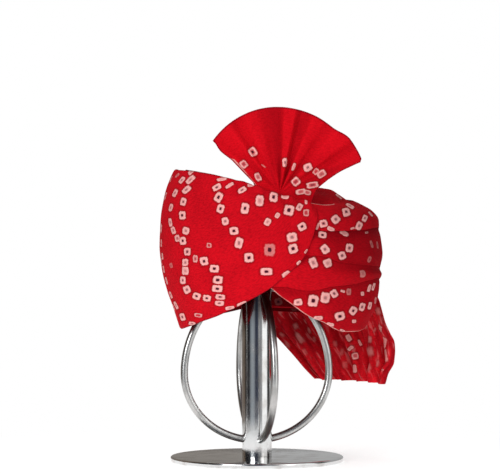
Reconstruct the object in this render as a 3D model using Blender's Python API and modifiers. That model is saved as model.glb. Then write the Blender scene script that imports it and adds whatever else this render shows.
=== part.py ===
"""Tied turban with a pleated fan and a hanging tail, on a chrome display stand.

Metres, +Z up. +X is the viewer's right, -Y faces the viewer. The origin is the centre of
the foot's underside, on the axis of the stand's post.
"""
import math
from bisect import bisect_right
from collections import namedtuple

import bmesh
import bpy
from mathutils import Vector

MM = 0.001

# Stand
POST_RADIUS = 15.9 * MM
POST_TOP = 285.7 * MM
POST_CAP_ROUND = 6.0 * MM
ARM_RADIUS = 3.9 * MM
ARM_COUNT = 4
ARM_TURN = math.radians(13.5)
ARM_REACH = 79.0 * MM
ARM_WAIST_HEIGHT = 95.0 * MM
ARM_RISE = 92.0 * MM
ARM_FALL = 72.0 * MM
ARM_START_SHARE = 0.12
ARM_STEPS = 15
BASE_RADIUS = 92.0 * MM
BASE_THICKNESS = 6.0 * MM
BASE_ROUND = 2.0 * MM
SEAT_GAP = 0.3 * MM
SMOOTH_ANGLE = math.radians(40.0)
WELD = 0.01 * MM

# Cloth
TURBAN_AXIS_X = 13.8 * MM
CLOTH = 1.7 * MM
LAYER = 2.5 * MM
CROWN_WALL = 3.0 * MM
TAIL_CLOTH = 1.2 * MM
FAN_CLOTH = 1.4 * MM
ROUNDNESS = 2.3
SEARCH_STEPS = 15
LAP = 11.0 * MM
COLUMN_STEP = 7.5
FINE_STEP = 2.2
LEFT_ROWS = 8
FOLD_ROWS = 5
SETTLE_ROUNDS = 6

# Back ends of the right folds: their angle at one height, and how it changes per mm of height.
FOLD_END = -189.0
FOLD_SLANT = -0.16
SLANT_HEIGHT = 150.0

# How many layers below the outer form each cloth lies, and the angles between which it sinks.
LEFT_BACK_LAYERS = 3.0
LEFT_SINKS = (95.0, 160.0)
FOLDS_MEET_LEFT = (-62.0, -38.0)
TUCK_START = 2.0 * MM
TUCK_LOOSE = 8.0 * MM
HEM_BEHIND_LAYERS = 2
HEM_SINKS = (70.0, 92.0)
CROWN_FRONT_LAYERS = 3.2
CROWN_BACK_LAYERS = 4.0
CROWN_LEFT_LAYERS = 1.0
CROWN_SINKS_RIGHT = (60.0, 100.0)
CROWN_RISES_LEFT = (40.0, 78.0)
CROWN_SINKS_LEFT = (90.0, 150.0)
FAN_FROM = (-48.0, -34.0)
FAN_TO = (14.0, 26.0)
UPPER_TOP_RISES = (26.0, 48.0)

# Outer form of the turban: radius and height in mm at each level, on its four sides.
Level = namedtuple("Level", "left_r left_z front_r front_z right_r right_z back_r back_z")
FORM = (
    Level(95.4, 141, 108, 140, 101.0, 138.0, 110, 142),
    Level(102.5, 163, 114, 160, 108.0, 158.0, 117, 160),
    Level(109.5, 184, 120, 180, 113.5, 178.0, 122, 180),
    Level(114.5, 206, 124, 200, 117.5, 198.0, 125, 200),
    Level(117.0, 231, 126, 222, 118.3, 219.0, 126, 220),
    Level(116.3, 254, 125, 243, 118.2, 239.0, 125, 240),
    Level(113.5, 276, 122, 263, 115.0, 256.0, 121, 258),
    Level(108.0, 295, 116, 279, 107.0, 266.0, 113, 270),
    Level(98.6, 311.5, 107, 291, 94.0, 272.5, 102, 279),
    Level(88.0, 307, 93, 291, 80.0, 278.0, 86, 284),
    Level(64.0, 297, 64, 289, 62.0, 287.5, 62, 288),
    Level(32.0, 290, 32, 289, 31.0, 289.0, 31, 289),
    Level(0.0, 289, 0, 289, 0.0, 289.0, 0, 289),
)
SHOULDER = 8
CENTRE = 12
LEVEL_STEP = 0.05
ANGLE_STEP = 0.5
SMALLEST_RADIUS = 1e-6

# Edges of the wraps. Front rows are read across the front, in mm from the turban's axis;
# turn rows give the angle round the head from the front, in degrees, positive to the left.
Front = namedtuple("Front", "across height")
Turn = namedtuple("Turn", "angle height")

LEFT_HEM = (
    Front(52.0, 264), Front(49.3, 255.5), Front(46.6, 240.6), Front(40.3, 224.7),
    Front(31.8, 211), Front(23.3, 201.8), Front(14.0, 194.5), Front(-1, 183),
    Front(-17, 173.4), Front(-44.5, 160.4), Front(-75.3, 148.4),
    Turn(75, 142), Turn(90, 141), Turn(115, 143), Turn(145, 148), Turn(170, 156), Turn(187.5, 166),
)
LEFT_TOP = (
    Front(52.0, 269), Front(45.6, 274.5), Front(40.3, 278.3), Front(31.8, 281.4),
    Front(21.2, 284.6), Front(9.5, 285.7), Front(0, 287.3), Front(-8.5, 290.4),
    Front(-15.9, 294.2), Front(-26.5, 297.9), Front(-46.6, 303.6), Front(-76.3, 309.3),
    Turn(90, 311.2), Turn(110, 304), Turn(132, 286), Turn(155, 268), Turn(187.5, 258),
)
UPPER_HEM = (
    Turn(-7.5, 252), Front(50.9, 248), Front(79.5, 246.5), Front(93, 244),
    Turn(-90, 242), Turn(-120, 238), Turn(-150, 234), Turn(-180, 232), Turn(-217.5, 234),
)
MIDDLE_HEM = (
    Turn(-7.5, 214), Front(45.6, 213), Front(64.7, 212), Front(90, 207.8),
    Turn(-90, 203.5), Turn(-120, 199), Turn(-150, 195), Turn(-180, 193), Turn(-210, 195),
)
LOW_HEM = (
    Turn(7.5, 190), Front(30, 187), Front(62.5, 182), Front(76, 179.5), Front(97.5, 179),
    Turn(-90, 183), Turn(-120, 180), Turn(-150, 176), Turn(-180, 174), Turn(-202.5, 176),
)
RIGHT_HEM = (
    Turn(7.5, 186), Front(1.8, 183), Front(17.6, 169.6), Front(38, 155.4), Front(56.8, 146.6),
    Front(75.3, 139.5), Front(90, 139.5), Turn(-80, 146), Turn(-100, 150), Turn(-140, 150),
    Turn(-170, 151), Turn(-195, 153),
)

# Seam between the inner band round the head and the folded top, hidden by the wraps.
BAND_TOP = (
    Turn(-180, 236), Turn(-135, 232), Turn(-90, 228), Turn(-45, 236), Turn(0, 246),
    Turn(45, 256), Turn(90, 262), Turn(110, 260), Turn(132, 252), Turn(155, 244), Turn(180, 236),
)
BAND_GAP = 0.9

# Fan: distances in mm from its gather, angles in degrees from +X, seen from the front.
FAN_GATHER_ACROSS = 9.5
FAN_GATHER_HEIGHT = 287.0
FanRow = namedtuple("FanRow", "share neck_x neck_z mouth_x mouth_z rim_angle rim_reach")
FAN_ROWS = (
    FanRow(0.00, -12, 281, -16.4, 294.7, 142.0, 87.3),
    FanRow(0.15, -5, 277, -9.0, 291.0, 126.0, 87.8),
    FanRow(0.35, 3, 273, 1.5, 288.0, 104.0, 88.8),
    FanRow(0.50, 9, 270, 9.0, 286.5, 86.0, 88.0),
    FanRow(0.65, 16, 269, 17.0, 286.0, 66.0, 87.8),
    FanRow(0.85, 28, 267, 33.0, 286.5, 38.0, 92.0),
    FanRow(1.00, 38, 266, 49.0, 289.0, 19.5, 93.5),
)
FAN_PLEATS = 9
FAN_PLEAT_DEPTH = 4.2
FAN_COLUMNS_PER_PLEAT = 5
FAN_ROWS_TUCKED = 3
FAN_ROWS_OPEN = 6
FAN_HELD_HEIGHT = 284.0
FAN_HELD_ABOVE = 1.0
FAN_LAYERS = 2.0
FAN_SIDE_LIMIT = 60.0
FAN_FREE_RISE = 30.0
FAN_PLANE = -99.0
FAN_INSET = 8.2 * MM
FAN_LEAN_HEIGHT = 300.0
FAN_LEAN = 0.10

# Tail: its two edges at each height, in mm from the turban's axis, and how deep it folds.
TailRow = namedtuple("TailRow", "height left_x left_y right_x right_y fold")
TAIL_ROWS = (
    TailRow(178, -24, 124, 116, 22, 0.0),
    TailRow(163, -20, 124, 119, 24, 0.8),
    TailRow(149, -8, 123, 122, 26, 2.2),
    TailRow(136, 5, 120, 128, 30, 4.6),
    TailRow(124, 16, 117, 133, 34, 6.0),
    TailRow(104, 33, 113, 128.5, 36, 7.0),
    TailRow(90, 45, 110, 124.5, 36, 7.6),
    TailRow(80, 54, 108, 122, 36, 8.0),
)
TAIL_TUCK = 8.0
TAIL_FREE_DROP = 22.0
TAIL_FREE_START = 1.0
TAIL_ANGLES = (-190.0, -97.0)
TAIL_DEPTH = 1.0
TAIL_FOLDS = 5
TAIL_COLUMNS_PER_FOLD = 6
TAIL_ROWS_DOWN = 11
TAIL_BOW = 16.0
TAIL_BOW_TOP = 31.0
TAIL_BOW_HEIGHTS = (105.0, 155.0)

# Crown: rows up its sides and levels over its top, and the shallow folds towards its centre.
BAND_ROWS = 4
TOP_SIDE_ROWS = 3
CROWN_TOP_LEVELS = (8.7, 9.3, 10.0, 10.8, 11.5)
CROWN_FOLDS = 8
CROWN_FOLD_DEPTH = 2.2 * MM
CROWN_FOLD_TWIST = 0.35
CROWN_FOLDS_BEGIN = (9.0, 10.2)
CROWN_FOLDS_END = (10.4, 11.4)
CROWN_RISES = (7.2, 8.4)
CROWN_MEETS_FORM = (8.8, 10.0)
CROWN_HEM_RISE = 4.0


def clear_scene():
    """Empty the scene of every object."""
    for leftover in list(bpy.data.objects):
        bpy.data.objects.remove(leftover, do_unlink=True)


def make_collection(name):
    """Add a collection to the scene and hand it back."""
    collection = bpy.data.collections.new(name)
    bpy.context.scene.collection.children.link(collection)
    return collection


def make_material(name, colour, roughness, metallic=0.0):
    """Plain Principled material."""
    material = bpy.data.materials.new(name)
    material.use_nodes = True
    shader = material.node_tree.nodes["Principled BSDF"]
    shader.inputs["Base Color"].default_value = (*colour, 1.0)
    shader.inputs["Roughness"].default_value = roughness
    shader.inputs["Metallic"].default_value = metallic
    return material


def ramp(start, end, value):
    """Soft step from 0 at start to 1 at end."""
    share = min(1.0, max(0.0, (value - start) / (end - start)))
    return share * share * (3.0 - 2.0 * share)


def smooth_curve(places, values):
    """Curve through the rows of a table that never overshoots them."""
    steps = [b - a for a, b in zip(places, places[1:])]
    slopes = [(b - a) / s for a, b, s in zip(values, values[1:], steps)]
    tangents = [slopes[0]]
    for before, after in zip(slopes, slopes[1:]):
        same_way = before * after > 0.0
        tangents.append(2.0 * before * after / (before + after) if same_way else 0.0)
    tangents.append(slopes[-1])

    def read(place):
        index = min(max(bisect_right(places, place) - 1, 0), len(steps) - 1)
        step = steps[index]
        t = min(1.0, max(0.0, (place - places[index]) / step))
        start_pull = t * (1.0 - t) * (1.0 - t) * step * tangents[index]
        end_pull = t * t * (t - 1.0) * step * tangents[index + 1]
        blend = t * t * (3.0 - 2.0 * t)
        return values[index] * (1.0 - blend) + values[index + 1] * blend + start_pull + end_pull

    return read


def column(rows, name):
    """One named column of a table."""
    return [float(getattr(row, name)) for row in rows]


LEVELS = [float(index) for index in range(len(FORM))]
PROFILE = {name: smooth_curve(LEVELS, column(FORM, name)) for name in Level._fields}


def form_point(angle, level):
    """Point of the turban's outer form, at an angle round the head and a level."""
    turn = math.radians(angle)
    sideways = -math.sin(turn)
    forward = math.cos(turn)
    side = "left" if sideways < 0.0 else "right"
    face = "front" if forward > 0.0 else "back"
    side_r = max(PROFILE[side + "_r"](level), SMALLEST_RADIUS)
    face_r = max(PROFILE[face + "_r"](level), SMALLEST_RADIUS)
    power = (abs(sideways) / side_r) ** ROUNDNESS + (abs(forward) / face_r) ** ROUNDNESS
    radius = power ** (-1.0 / ROUNDNESS)
    to_side = 1.0 - (1.0 - abs(sideways)) ** 2
    face_z = PROFILE[face + "_z"](level)
    height = face_z + (PROFILE[side + "_z"](level) - face_z) * to_side
    return Vector((TURBAN_AXIS_X + radius * sideways * MM, -radius * forward * MM, height * MM))


def form_normal(angle, level):
    """Outward direction of the form there."""
    if level > CENTRE - LEVEL_STEP:
        return Vector((0.0, 0.0, 1.0))
    above = form_point(angle, min(level + LEVEL_STEP, CENTRE))
    below = form_point(angle, max(level - LEVEL_STEP, 0.0))
    around = form_point(angle + ANGLE_STEP, level) - form_point(angle - ANGLE_STEP, level)
    return (above - below).cross(around).normalized()


def skin(angle, level, depth):
    """Point at a depth below the outer form."""
    return form_point(angle, level) - form_normal(angle, level) * depth


def level_at(angle, height):
    """Level below the shoulder at which the form reaches a height in mm."""
    low = 0.0
    high = float(SHOULDER)
    for _ in range(SEARCH_STEPS):
        middle = (low + high) / 2.0
        if form_point(angle, middle).z < height * MM:
            low = middle
        else:
            high = middle
    return (low + high) / 2.0


def angle_at(across, height):
    """Angle at which the front of the form lies that far to the right of the axis, in mm."""
    low = -89.9
    high = 89.9
    for _ in range(SEARCH_STEPS):
        middle = (low + high) / 2.0
        if form_point(middle, level_at(middle, height)).x - TURBAN_AXIS_X > across * MM:
            low = middle
        else:
            high = middle
    return (low + high) / 2.0


def edge_height(rows):
    """Height of an edge in mm as a function of the angle round the head."""
    knots = []
    for row in rows:
        angle = row.angle if isinstance(row, Turn) else angle_at(row.across, row.height)
        knots.append((float(angle), float(row.height)))
    knots.sort()
    return smooth_curve([angle for angle, _ in knots], [height for _, height in knots])


def add_object(name, mesh, material, collection):
    """Put a mesh in the scene as a named piece."""
    piece = bpy.data.objects.new(name, mesh)
    collection.objects.link(piece)
    mesh.materials.append(material)
    return piece


def sheet_piece(name, points, material, thickness, ring=False, centre=None):
    """Cloth from a grid of points, columns of rows, given its thickness inwards.

    A ring joins its last column to its first, and may close over one centre point.
    """
    work = bmesh.new()
    grid = [[work.verts.new(point) for point in rows] for rows in points]
    pairs = list(zip(grid, grid[1:]))
    if ring:
        pairs.append((grid[-1], grid[0]))
    middle = work.verts.new(centre) if centre else None
    for here, there in pairs:
        for row in range(len(here) - 1):
            work.faces.new((here[row], here[row + 1], there[row + 1], there[row]))
        if middle:
            work.faces.new((here[-1], middle, there[-1]))
    mesh = bpy.data.meshes.new(name)
    work.to_mesh(mesh)
    work.free()
    mesh.shade_smooth()
    piece = add_object(name, mesh, material, TURBAN)
    wall = piece.modifiers.new("wall", "SOLIDIFY")
    wall.thickness = thickness
    wall.offset = -1.0
    return piece


def angles_between(start, end, step):
    """Even angles from start to end, no further apart than step."""
    return even_steps(start, end, max(1, math.ceil(abs(end - start) / step)))


def band_points(places, low_edge, high_level, rows, depth_at):
    """Grid for one turn of cloth between its lower edge and its top level.

    A place gives the angle of a column at each height, so that a column may slant.
    """
    points = []
    for place in places:
        def low_step(angle, place=place):
            return place(low_edge(angle))

        def high_step(angle, place=place):
            return place(form_point(angle, high_level(angle)).z / MM)

        low_angle = settle(low_step, place(SLANT_HEIGHT))
        high_angle = settle(high_step, low_angle)
        low = level_at(low_angle, low_edge(low_angle))
        high = high_level(high_angle)
        low_z = form_point(low_angle, low).z
        high_z = form_point(high_angle, high).z
        line = []
        for row in range(rows + 1):
            share = row / rows
            angle = low_angle + (high_angle - low_angle) * share
            level = low + (high - low) * share
            z = form_point(angle, level).z
            line.append(skin(angle, level, depth_at(angle, high_z - z, z - low_z)))
        points.append(line)
    return points


def settle(step, start):
    """Angle that a slanting column has where it meets an edge."""
    angle = start
    for _ in range(SETTLE_ROUNDS):
        angle = step(angle)
    return angle


def upright(angle):
    """Column at one angle at every height."""
    return lambda _height: angle


def slanting(start, share):
    """Column between an upright start and the slanting back end of the right folds."""
    return lambda height: start + share * (FOLD_END + FOLD_SLANT * (height - SLANT_HEIGHT) - start)


def left_depth(angle, _below_top, _above_hem):
    """The left wrap lies outermost in front and deepest at the back, under the right folds."""
    return LEFT_BACK_LAYERS * LAYER * ramp(*LEFT_SINKS, angle)


def crown_depth(angle, level):
    """The crown lies under every turn, and rises to the form inside the shoulder."""
    front = CROWN_FRONT_LAYERS * LAYER
    back = CROWN_BACK_LAYERS * LAYER
    left = CROWN_LEFT_LAYERS * LAYER
    if angle > 0.0:
        depth = front + (left - front) * ramp(*CROWN_RISES_LEFT, angle)
        depth = max(depth, left + (back - left) * ramp(*CROWN_SINKS_LEFT, angle))
    else:
        depth = front + (back - front) * ramp(*CROWN_SINKS_RIGHT, -angle)
    behind_fan = ramp(*FAN_FROM, angle) * (1.0 - ramp(*FAN_TO, angle))
    rise = ramp(*CROWN_RISES, level) * (1.0 - behind_fan)
    depth += (LAYER - depth) * rise
    return depth * (1.0 - ramp(*CROWN_MEETS_FORM, level))


def fold_depth(angle, below_top, above_hem, tucked, behind):
    """Depth of a right fold: its top is tucked under the fold above, its hem stands out."""
    under_left = LAYER * ramp(*FOLDS_MEET_LEFT, angle)
    tuck = 0.0
    if tucked:
        height = below_top + above_hem
        loose = max(height - LAP - MM, LAP + TUCK_LOOSE)
        tuck = LAYER * (1.0 - ramp(LAP + TUCK_START, loose, below_top))
    if behind:
        tuck += (behind * LAYER - tuck) * ramp(*HEM_SINKS, -angle)
    return under_left + tuck


def build_left_wrap(material):
    """Broad turn over the front and the left side."""
    low_edge = edge_height(LEFT_HEM)
    top_edge = edge_height(LEFT_TOP)
    tip = angle_at(LEFT_HEM[0].across, LEFT_HEM[0].height)
    front = angles_between(tip, 0.0, FINE_STEP)
    side = angles_between(0.0, LEFT_HEM[-1].angle, COLUMN_STEP)
    places = [upright(angle) for angle in front[:-1] + side]

    def top_level(angle):
        return level_at(angle, top_edge(angle))

    grid = band_points(places, low_edge, top_level, LEFT_ROWS, left_depth)
    sheet_piece("left_wrap", grid, material, CLOTH)


def build_right_folds(material):
    """Four folds that fan out from under the left wrap and run round the back."""
    Fold = namedtuple("Fold", "name hem above start behind")
    folds = (
        Fold("right_wrap_upper", UPPER_HEM, None, -7.5, 0),
        Fold("right_wrap_middle", MIDDLE_HEM, UPPER_HEM, -7.5, 0),
        Fold("right_wrap_low", LOW_HEM, MIDDLE_HEM, 7.5, 0),
        Fold("right_wrap_hem", RIGHT_HEM, LOW_HEM, 7.5, HEM_BEHIND_LAYERS),
    )
    for fold in folds:
        above = edge_height(fold.above) if fold.above else None

        def top_level(angle, above=above):
            if above is None:
                return SHOULDER - 0.5 + ramp(*UPPER_TOP_RISES, -angle)
            return level_at(angle, above(angle) + LAP / MM)

        def depth_at(angle, below_top, above_hem, fold=fold):
            return fold_depth(angle, below_top, above_hem, fold.above is not None, fold.behind)

        count = math.ceil((fold.start - FOLD_END) / COLUMN_STEP)
        places = [slanting(fold.start, index / count) for index in range(count, -1, -1)]
        grid = band_points(places, edge_height(fold.hem), top_level, FOLD_ROWS, depth_at)
        sheet_piece(fold.name, grid, material, CLOTH)


def even_steps(start, end, count):
    """Evenly spaced values from start to end."""
    return [start + (end - start) * index / count for index in range(count + 1)]


def crown_line(angle, levels):
    """One upright line of the crown, with its shallow folds."""
    line = []
    for level in levels:
        wave = math.sin(CROWN_FOLDS * (math.radians(angle) + CROWN_FOLD_TWIST * level))
        fade = ramp(*CROWN_FOLDS_BEGIN, level) * (1.0 - ramp(*CROWN_FOLDS_END, level))
        depth = crown_depth(angle, level) + CROWN_FOLD_DEPTH * fade * wave
        line.append(skin(angle, level, depth))
    return line


def build_crown(material):
    """Hollow crown, open below: a band round the head, and a top folded to its centre."""
    left_edge = edge_height(LEFT_HEM)
    right_edge = edge_height(RIGHT_HEM)
    seam = edge_height(BAND_TOP)
    band = []
    top = []
    for angle in angles_between(-180.0, 180.0, COLUMN_STEP)[:-1]:
        edge = right_edge(angle) if angle < 0.0 else left_edge(angle)
        low = level_at(angle, edge + CROWN_HEM_RISE)
        band.append(crown_line(angle, even_steps(low, level_at(angle, seam(angle)), BAND_ROWS)))
        start = level_at(angle, seam(angle) + BAND_GAP)
        sides = even_steps(start, SHOULDER, TOP_SIDE_ROWS)
        top.append(crown_line(angle, sides + list(CROWN_TOP_LEVELS)))
    sheet_piece("inner_band", band, material, CROWN_WALL, ring=True)
    centre = skin(0.0, CENTRE, 0.0)
    sheet_piece("crown_top", top, material, CROWN_WALL, ring=True, centre=centre)


def build_fan(material):
    """Pleated fan whose neck is tucked between the wraps and the crown."""
    shares = column(FAN_ROWS, "share")
    read = {name: smooth_curve(shares, column(FAN_ROWS, name)) for name in FanRow._fields}
    wrap_top = edge_height(LEFT_TOP)
    columns = FAN_PLEATS * FAN_COLUMNS_PER_PLEAT
    points = []
    for index in range(columns + 1):
        share = index / columns
        neck = Vector((read["neck_x"](share), read["neck_z"](share)))
        mouth = Vector((read["mouth_x"](share), read["mouth_z"](share)))
        turn = math.radians(read["rim_angle"](share))
        spoke = Vector((math.cos(turn), math.sin(turn))) * read["rim_reach"](share)
        rim = Vector((FAN_GATHER_ACROSS, FAN_GATHER_HEIGHT)) + spoke
        pleat = math.sin(share * FAN_PLEATS * 2.0 * math.pi)
        tucked = [neck.lerp(mouth, row / FAN_ROWS_TUCKED) for row in range(FAN_ROWS_TUCKED)]
        spread = [mouth.lerp(rim, row / FAN_ROWS_OPEN) for row in range(FAN_ROWS_OPEN + 1)]
        line = []
        for x, z in tucked + spread:
            across = min(max(x, -FAN_SIDE_LIMIT), FAN_SIDE_LIMIT)
            angle = angle_at(across, FAN_HELD_HEIGHT)
            held = min(z, max(wrap_top(angle), FAN_HELD_HEIGHT) + FAN_HELD_ABOVE)
            angle = angle_at(across, held)
            level = level_at(angle, held)
            inset = min(-FAN_LAYERS * LAYER / form_normal(angle, level).y, FAN_INSET)
            y = (form_point(angle, level).y + inset) / MM
            free = ramp(held, held + FAN_FREE_RISE, z)
            y += (FAN_PLANE - y) * free - FAN_PLEAT_DEPTH * free * pleat
            y += FAN_LEAN * max(0.0, z - FAN_LEAN_HEIGHT)
            line.append(Vector((TURBAN_AXIS_X + x * MM, y * MM, z * MM)))
        points.append(line)
    points.reverse()
    sheet_piece("fan", points, material, FAN_CLOTH)


def build_tail(material):
    """Free end of the cloth, from under the third fold down behind the right side."""
    rows = sorted(TAIL_ROWS)
    hem_above = edge_height(LOW_HEM)
    heights = column(rows, "height")
    read = {name: smooth_curve(heights, column(rows, name)) for name in TailRow._fields}
    columns = TAIL_FOLDS * TAIL_COLUMNS_PER_FOLD
    points = []
    for index in range(columns + 1):
        share = index / columns
        angle = TAIL_ANGLES[0] + (TAIL_ANGLES[1] - TAIL_ANGLES[0]) * share
        wave = math.sin(share * TAIL_FOLDS * 2.0 * math.pi)
        line = []
        for row in range(TAIL_ROWS_DOWN + 1):
            leaves = hem_above(angle)
            height = heights[0] + (leaves + TAIL_TUCK - heights[0]) * row / TAIL_ROWS_DOWN
            tucked = skin(angle, level_at(angle, height), TAIL_DEPTH * LAYER)
            left = Vector((read["left_x"](height), read["left_y"](height), 0.0))
            right = Vector((read["right_x"](height), read["right_y"](height), 0.0))
            chord = right - left
            outward = Vector((-chord.y, chord.x, 0.0)).normalized()
            bow = TAIL_BOW + (TAIL_BOW_TOP - TAIL_BOW) * ramp(*TAIL_BOW_HEIGHTS, height)
            middle = left + chord * share + outward * bow * math.sin(math.pi * share)
            free = middle + outward * read["fold"](height) * wave
            free = Vector((TURBAN_AXIS_X + free.x * MM, free.y * MM, height * MM))
            held = ramp(leaves - TAIL_FREE_DROP, leaves - TAIL_FREE_START, height)
            line.append(free.lerp(tucked, held))
        points.append(line)
    sheet_piece("tail", points, material, TAIL_CLOTH)


def build_base(material):
    """Round foot with a softened rim."""
    bpy.ops.mesh.primitive_cylinder_add(vertices=48, radius=BASE_RADIUS, depth=BASE_THICKNESS)
    base = bpy.context.object
    base.name = "stand_base"
    base.location = (0.0, 0.0, BASE_THICKNESS / 2.0)
    move_to(base, TURBAN)
    base.data.materials.append(material)
    rim = base.modifiers.new("rim", "BEVEL")
    rim.width = BASE_ROUND
    rim.segments = 2
    rim.limit_method = "ANGLE"
    base.data.shade_smooth()
    base.data.set_sharp_from_angle(angle=SMOOTH_ANGLE)


def move_to(piece, collection):
    """Keep a piece in one collection."""
    for home in list(piece.users_collection):
        home.objects.unlink(piece)
    collection.objects.link(piece)


def arm_route(turn):
    """Centre line of one arm: up and over from the post, and back in near the foot."""
    start = math.asin(ARM_START_SHARE)
    points = []
    for step in range(ARM_STEPS + 1):
        swing = math.pi / 2.0 - start - (math.pi - 2.0 * start) * step / ARM_STEPS
        rise = ARM_RISE if swing > 0.0 else ARM_FALL
        reach = ARM_REACH * math.cos(swing)
        height = ARM_WAIST_HEIGHT + rise * math.sin(swing)
        points.append((reach * math.cos(turn), reach * math.sin(turn), height))
    return points


def build_arm(index):
    """One bent arm as a closed tube."""
    route = arm_route(ARM_TURN + index * 2.0 * math.pi / ARM_COUNT)
    wire = bpy.data.curves.new(f"arm_{index}", "CURVE")
    wire.dimensions = "3D"
    wire.bevel_depth = ARM_RADIUS
    wire.bevel_resolution = 2
    wire.use_fill_caps = True
    spline = wire.splines.new("POLY")
    spline.points.add(len(route) - 1)
    for point, place in zip(spline.points, route):
        point.co = (*place, 1.0)
    bent = bpy.data.objects.new(f"arm_{index}_wire", wire)
    CUTTERS.objects.link(bent)
    bpy.context.view_layer.update()
    shaped = bent.evaluated_get(bpy.context.evaluated_depsgraph_get())
    mesh = bpy.data.meshes.new_from_object(shaped)
    bpy.data.objects.remove(bent, do_unlink=True)
    work = bmesh.new()
    work.from_mesh(mesh)
    bmesh.ops.remove_doubles(work, verts=work.verts, dist=WELD)
    bmesh.ops.recalc_face_normals(work, faces=work.faces)
    work.to_mesh(mesh)
    work.free()
    arm = bpy.data.objects.new(f"arm_{index}", mesh)
    CUTTERS.objects.link(arm)
    arm.hide_render = True
    arm.display_type = "WIRE"
    return arm


def build_stand_frame(material):
    """Post with a rounded top, and four arms soldered to it."""
    height = POST_TOP - BASE_THICKNESS - SEAT_GAP
    bpy.ops.mesh.primitive_cylinder_add(vertices=32, radius=POST_RADIUS, depth=height)
    post = bpy.context.object
    post.name = "stand_frame"
    post.location = (0.0, 0.0, POST_TOP - height / 2.0)
    move_to(post, TURBAN)
    post.data.materials.append(material)
    work = bmesh.new()
    work.from_mesh(post.data)
    top_edges = [edge for edge in work.edges if all(vert.co.z > 0.0 for vert in edge.verts)]
    bmesh.ops.bevel(
        work, geom=top_edges, offset=POST_CAP_ROUND, segments=3, profile=0.5, affect="EDGES")
    work.to_mesh(post.data)
    work.free()
    for index in range(ARM_COUNT):
        union = post.modifiers.new(f"solder_{index}", "BOOLEAN")
        union.operation = "UNION"
        union.object = build_arm(index)
    post.data.shade_smooth()
    post.data.set_sharp_from_angle(angle=SMOOTH_ANGLE)


clear_scene()
TURBAN = make_collection("turban_on_stand")
CUTTERS = make_collection("cutters")

red_cloth = make_material("red_cloth", (0.62, 0.004, 0.016), 0.8)
chrome = make_material("chrome", (0.75, 0.76, 0.78), 0.12, 1.0)

build_crown(red_cloth)
build_left_wrap(red_cloth)
build_right_folds(red_cloth)
build_fan(red_cloth)
build_tail(red_cloth)
build_stand_frame(chrome)
build_base(chrome)
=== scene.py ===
"""Looks of a tied red turban with tie-dyed dots, a pleated fan and a hanging tail, on its chrome stand.

Metres, +Z up; +X is the viewer's right and -Y faces the viewer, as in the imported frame.
Every cloth is a grid of points worked out on the turban's form, then given its thickness.
"""

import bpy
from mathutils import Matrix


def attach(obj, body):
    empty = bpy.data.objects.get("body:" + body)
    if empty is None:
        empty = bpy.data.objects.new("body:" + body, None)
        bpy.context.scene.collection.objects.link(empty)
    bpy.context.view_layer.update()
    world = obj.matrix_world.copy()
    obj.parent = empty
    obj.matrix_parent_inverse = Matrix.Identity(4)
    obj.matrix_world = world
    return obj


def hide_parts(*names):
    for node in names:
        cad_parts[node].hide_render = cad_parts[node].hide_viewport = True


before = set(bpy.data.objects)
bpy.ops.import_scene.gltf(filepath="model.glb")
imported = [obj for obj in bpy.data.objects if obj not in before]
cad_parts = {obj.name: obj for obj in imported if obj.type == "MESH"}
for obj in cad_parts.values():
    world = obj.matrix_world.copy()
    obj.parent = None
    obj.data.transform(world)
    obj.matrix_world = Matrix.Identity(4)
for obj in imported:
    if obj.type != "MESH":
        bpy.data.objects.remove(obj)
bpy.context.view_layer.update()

import logging
import math
from dataclasses import dataclass, field
from enum import Enum
from typing import Callable, NamedTuple, Sequence

import bpy
import numpy as np
from mathutils import Vector

LOG = logging.getLogger("turban")
MM = 0.001
ROOT = "root"

Socket = bpy.types.NodeSocket
Sockets = bpy.types.bpy_prop_collection


def listed(kind: type, *rows: tuple) -> tuple:
    """A table: its rows as one kind of named row."""
    return tuple(kind(*row) for row in rows)


# Stand, in mm and degrees
POST_RADIUS = 15.9
POST_TOP = 285.7
POST_CAP_ROUND = 6.0
ARM_RADIUS = 3.9
ARM_COUNT = 4
ARM_TURN = 13.5
ARM_REACH = 79.0
ARM_WAIST_HEIGHT = 95.0
ARM_RISE = 92.0
ARM_FALL = 72.0
ARM_START_SHARE = 0.12
ARM_STEPS = 48
BASE_RADIUS = 92.0
BASE_THICKNESS = 6.0
BASE_ROUND = 2.0
SEAT_GAP = 0.3
TURNED_SEGMENTS = 96
POST_EDGE = 1.0
POST_CAP_STEPS = 8
FOOT_RIM_STEPS = 12
ARM_SIDES = 20
SHARP_DEGREES = 50.0

# Cloth: its thicknesses and layers in mm, and the angles and levels at which they change
TURBAN_AXIS_X = 13.8
CLOTH = 1.7
LAYER = 2.5
CROWN_WALL = 3.0
TAIL_CLOTH = 1.2
FAN_CLOTH = 1.4
ROUNDNESS = 2.3
FRONT_LIMIT = 89.9
SEEN_ANGLE = 92.0
SEEN_STEPS = 41
SEEN_ROUNDS = 6
SEEN_NARROWS = 0.2
SEARCH_STEPS = 17
SETTLE_ROUNDS = 6
LAP = 11.0
FOLD_END = -189.0
FOLD_SLANT = -0.16
SLANT_HEIGHT = 150.0
LEFT_BACK_LAYERS = 3.0
LEFT_SINKS = (95.0, 160.0)
FOLDS_MEET_LEFT = (-62.0, -38.0)
TUCK_START = 2.0
TUCK_LOOSE = 8.0
HEM_BEHIND_LAYERS = 2
HEM_SINKS = (70.0, 92.0)
CROWN_FRONT_LAYERS = 3.2
CROWN_BACK_LAYERS = 4.0
CROWN_LEFT_LAYERS = 1.0
CROWN_SINKS_RIGHT = (60.0, 100.0)
CROWN_RISES_LEFT = (40.0, 78.0)
CROWN_SINKS_LEFT = (90.0, 150.0)
FAN_FROM = (-48.0, -34.0)
FAN_TO = (14.0, 26.0)
UPPER_TOP_RISES = (26.0, 48.0)
UPPER_TOP_RISE = 0.8
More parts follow.
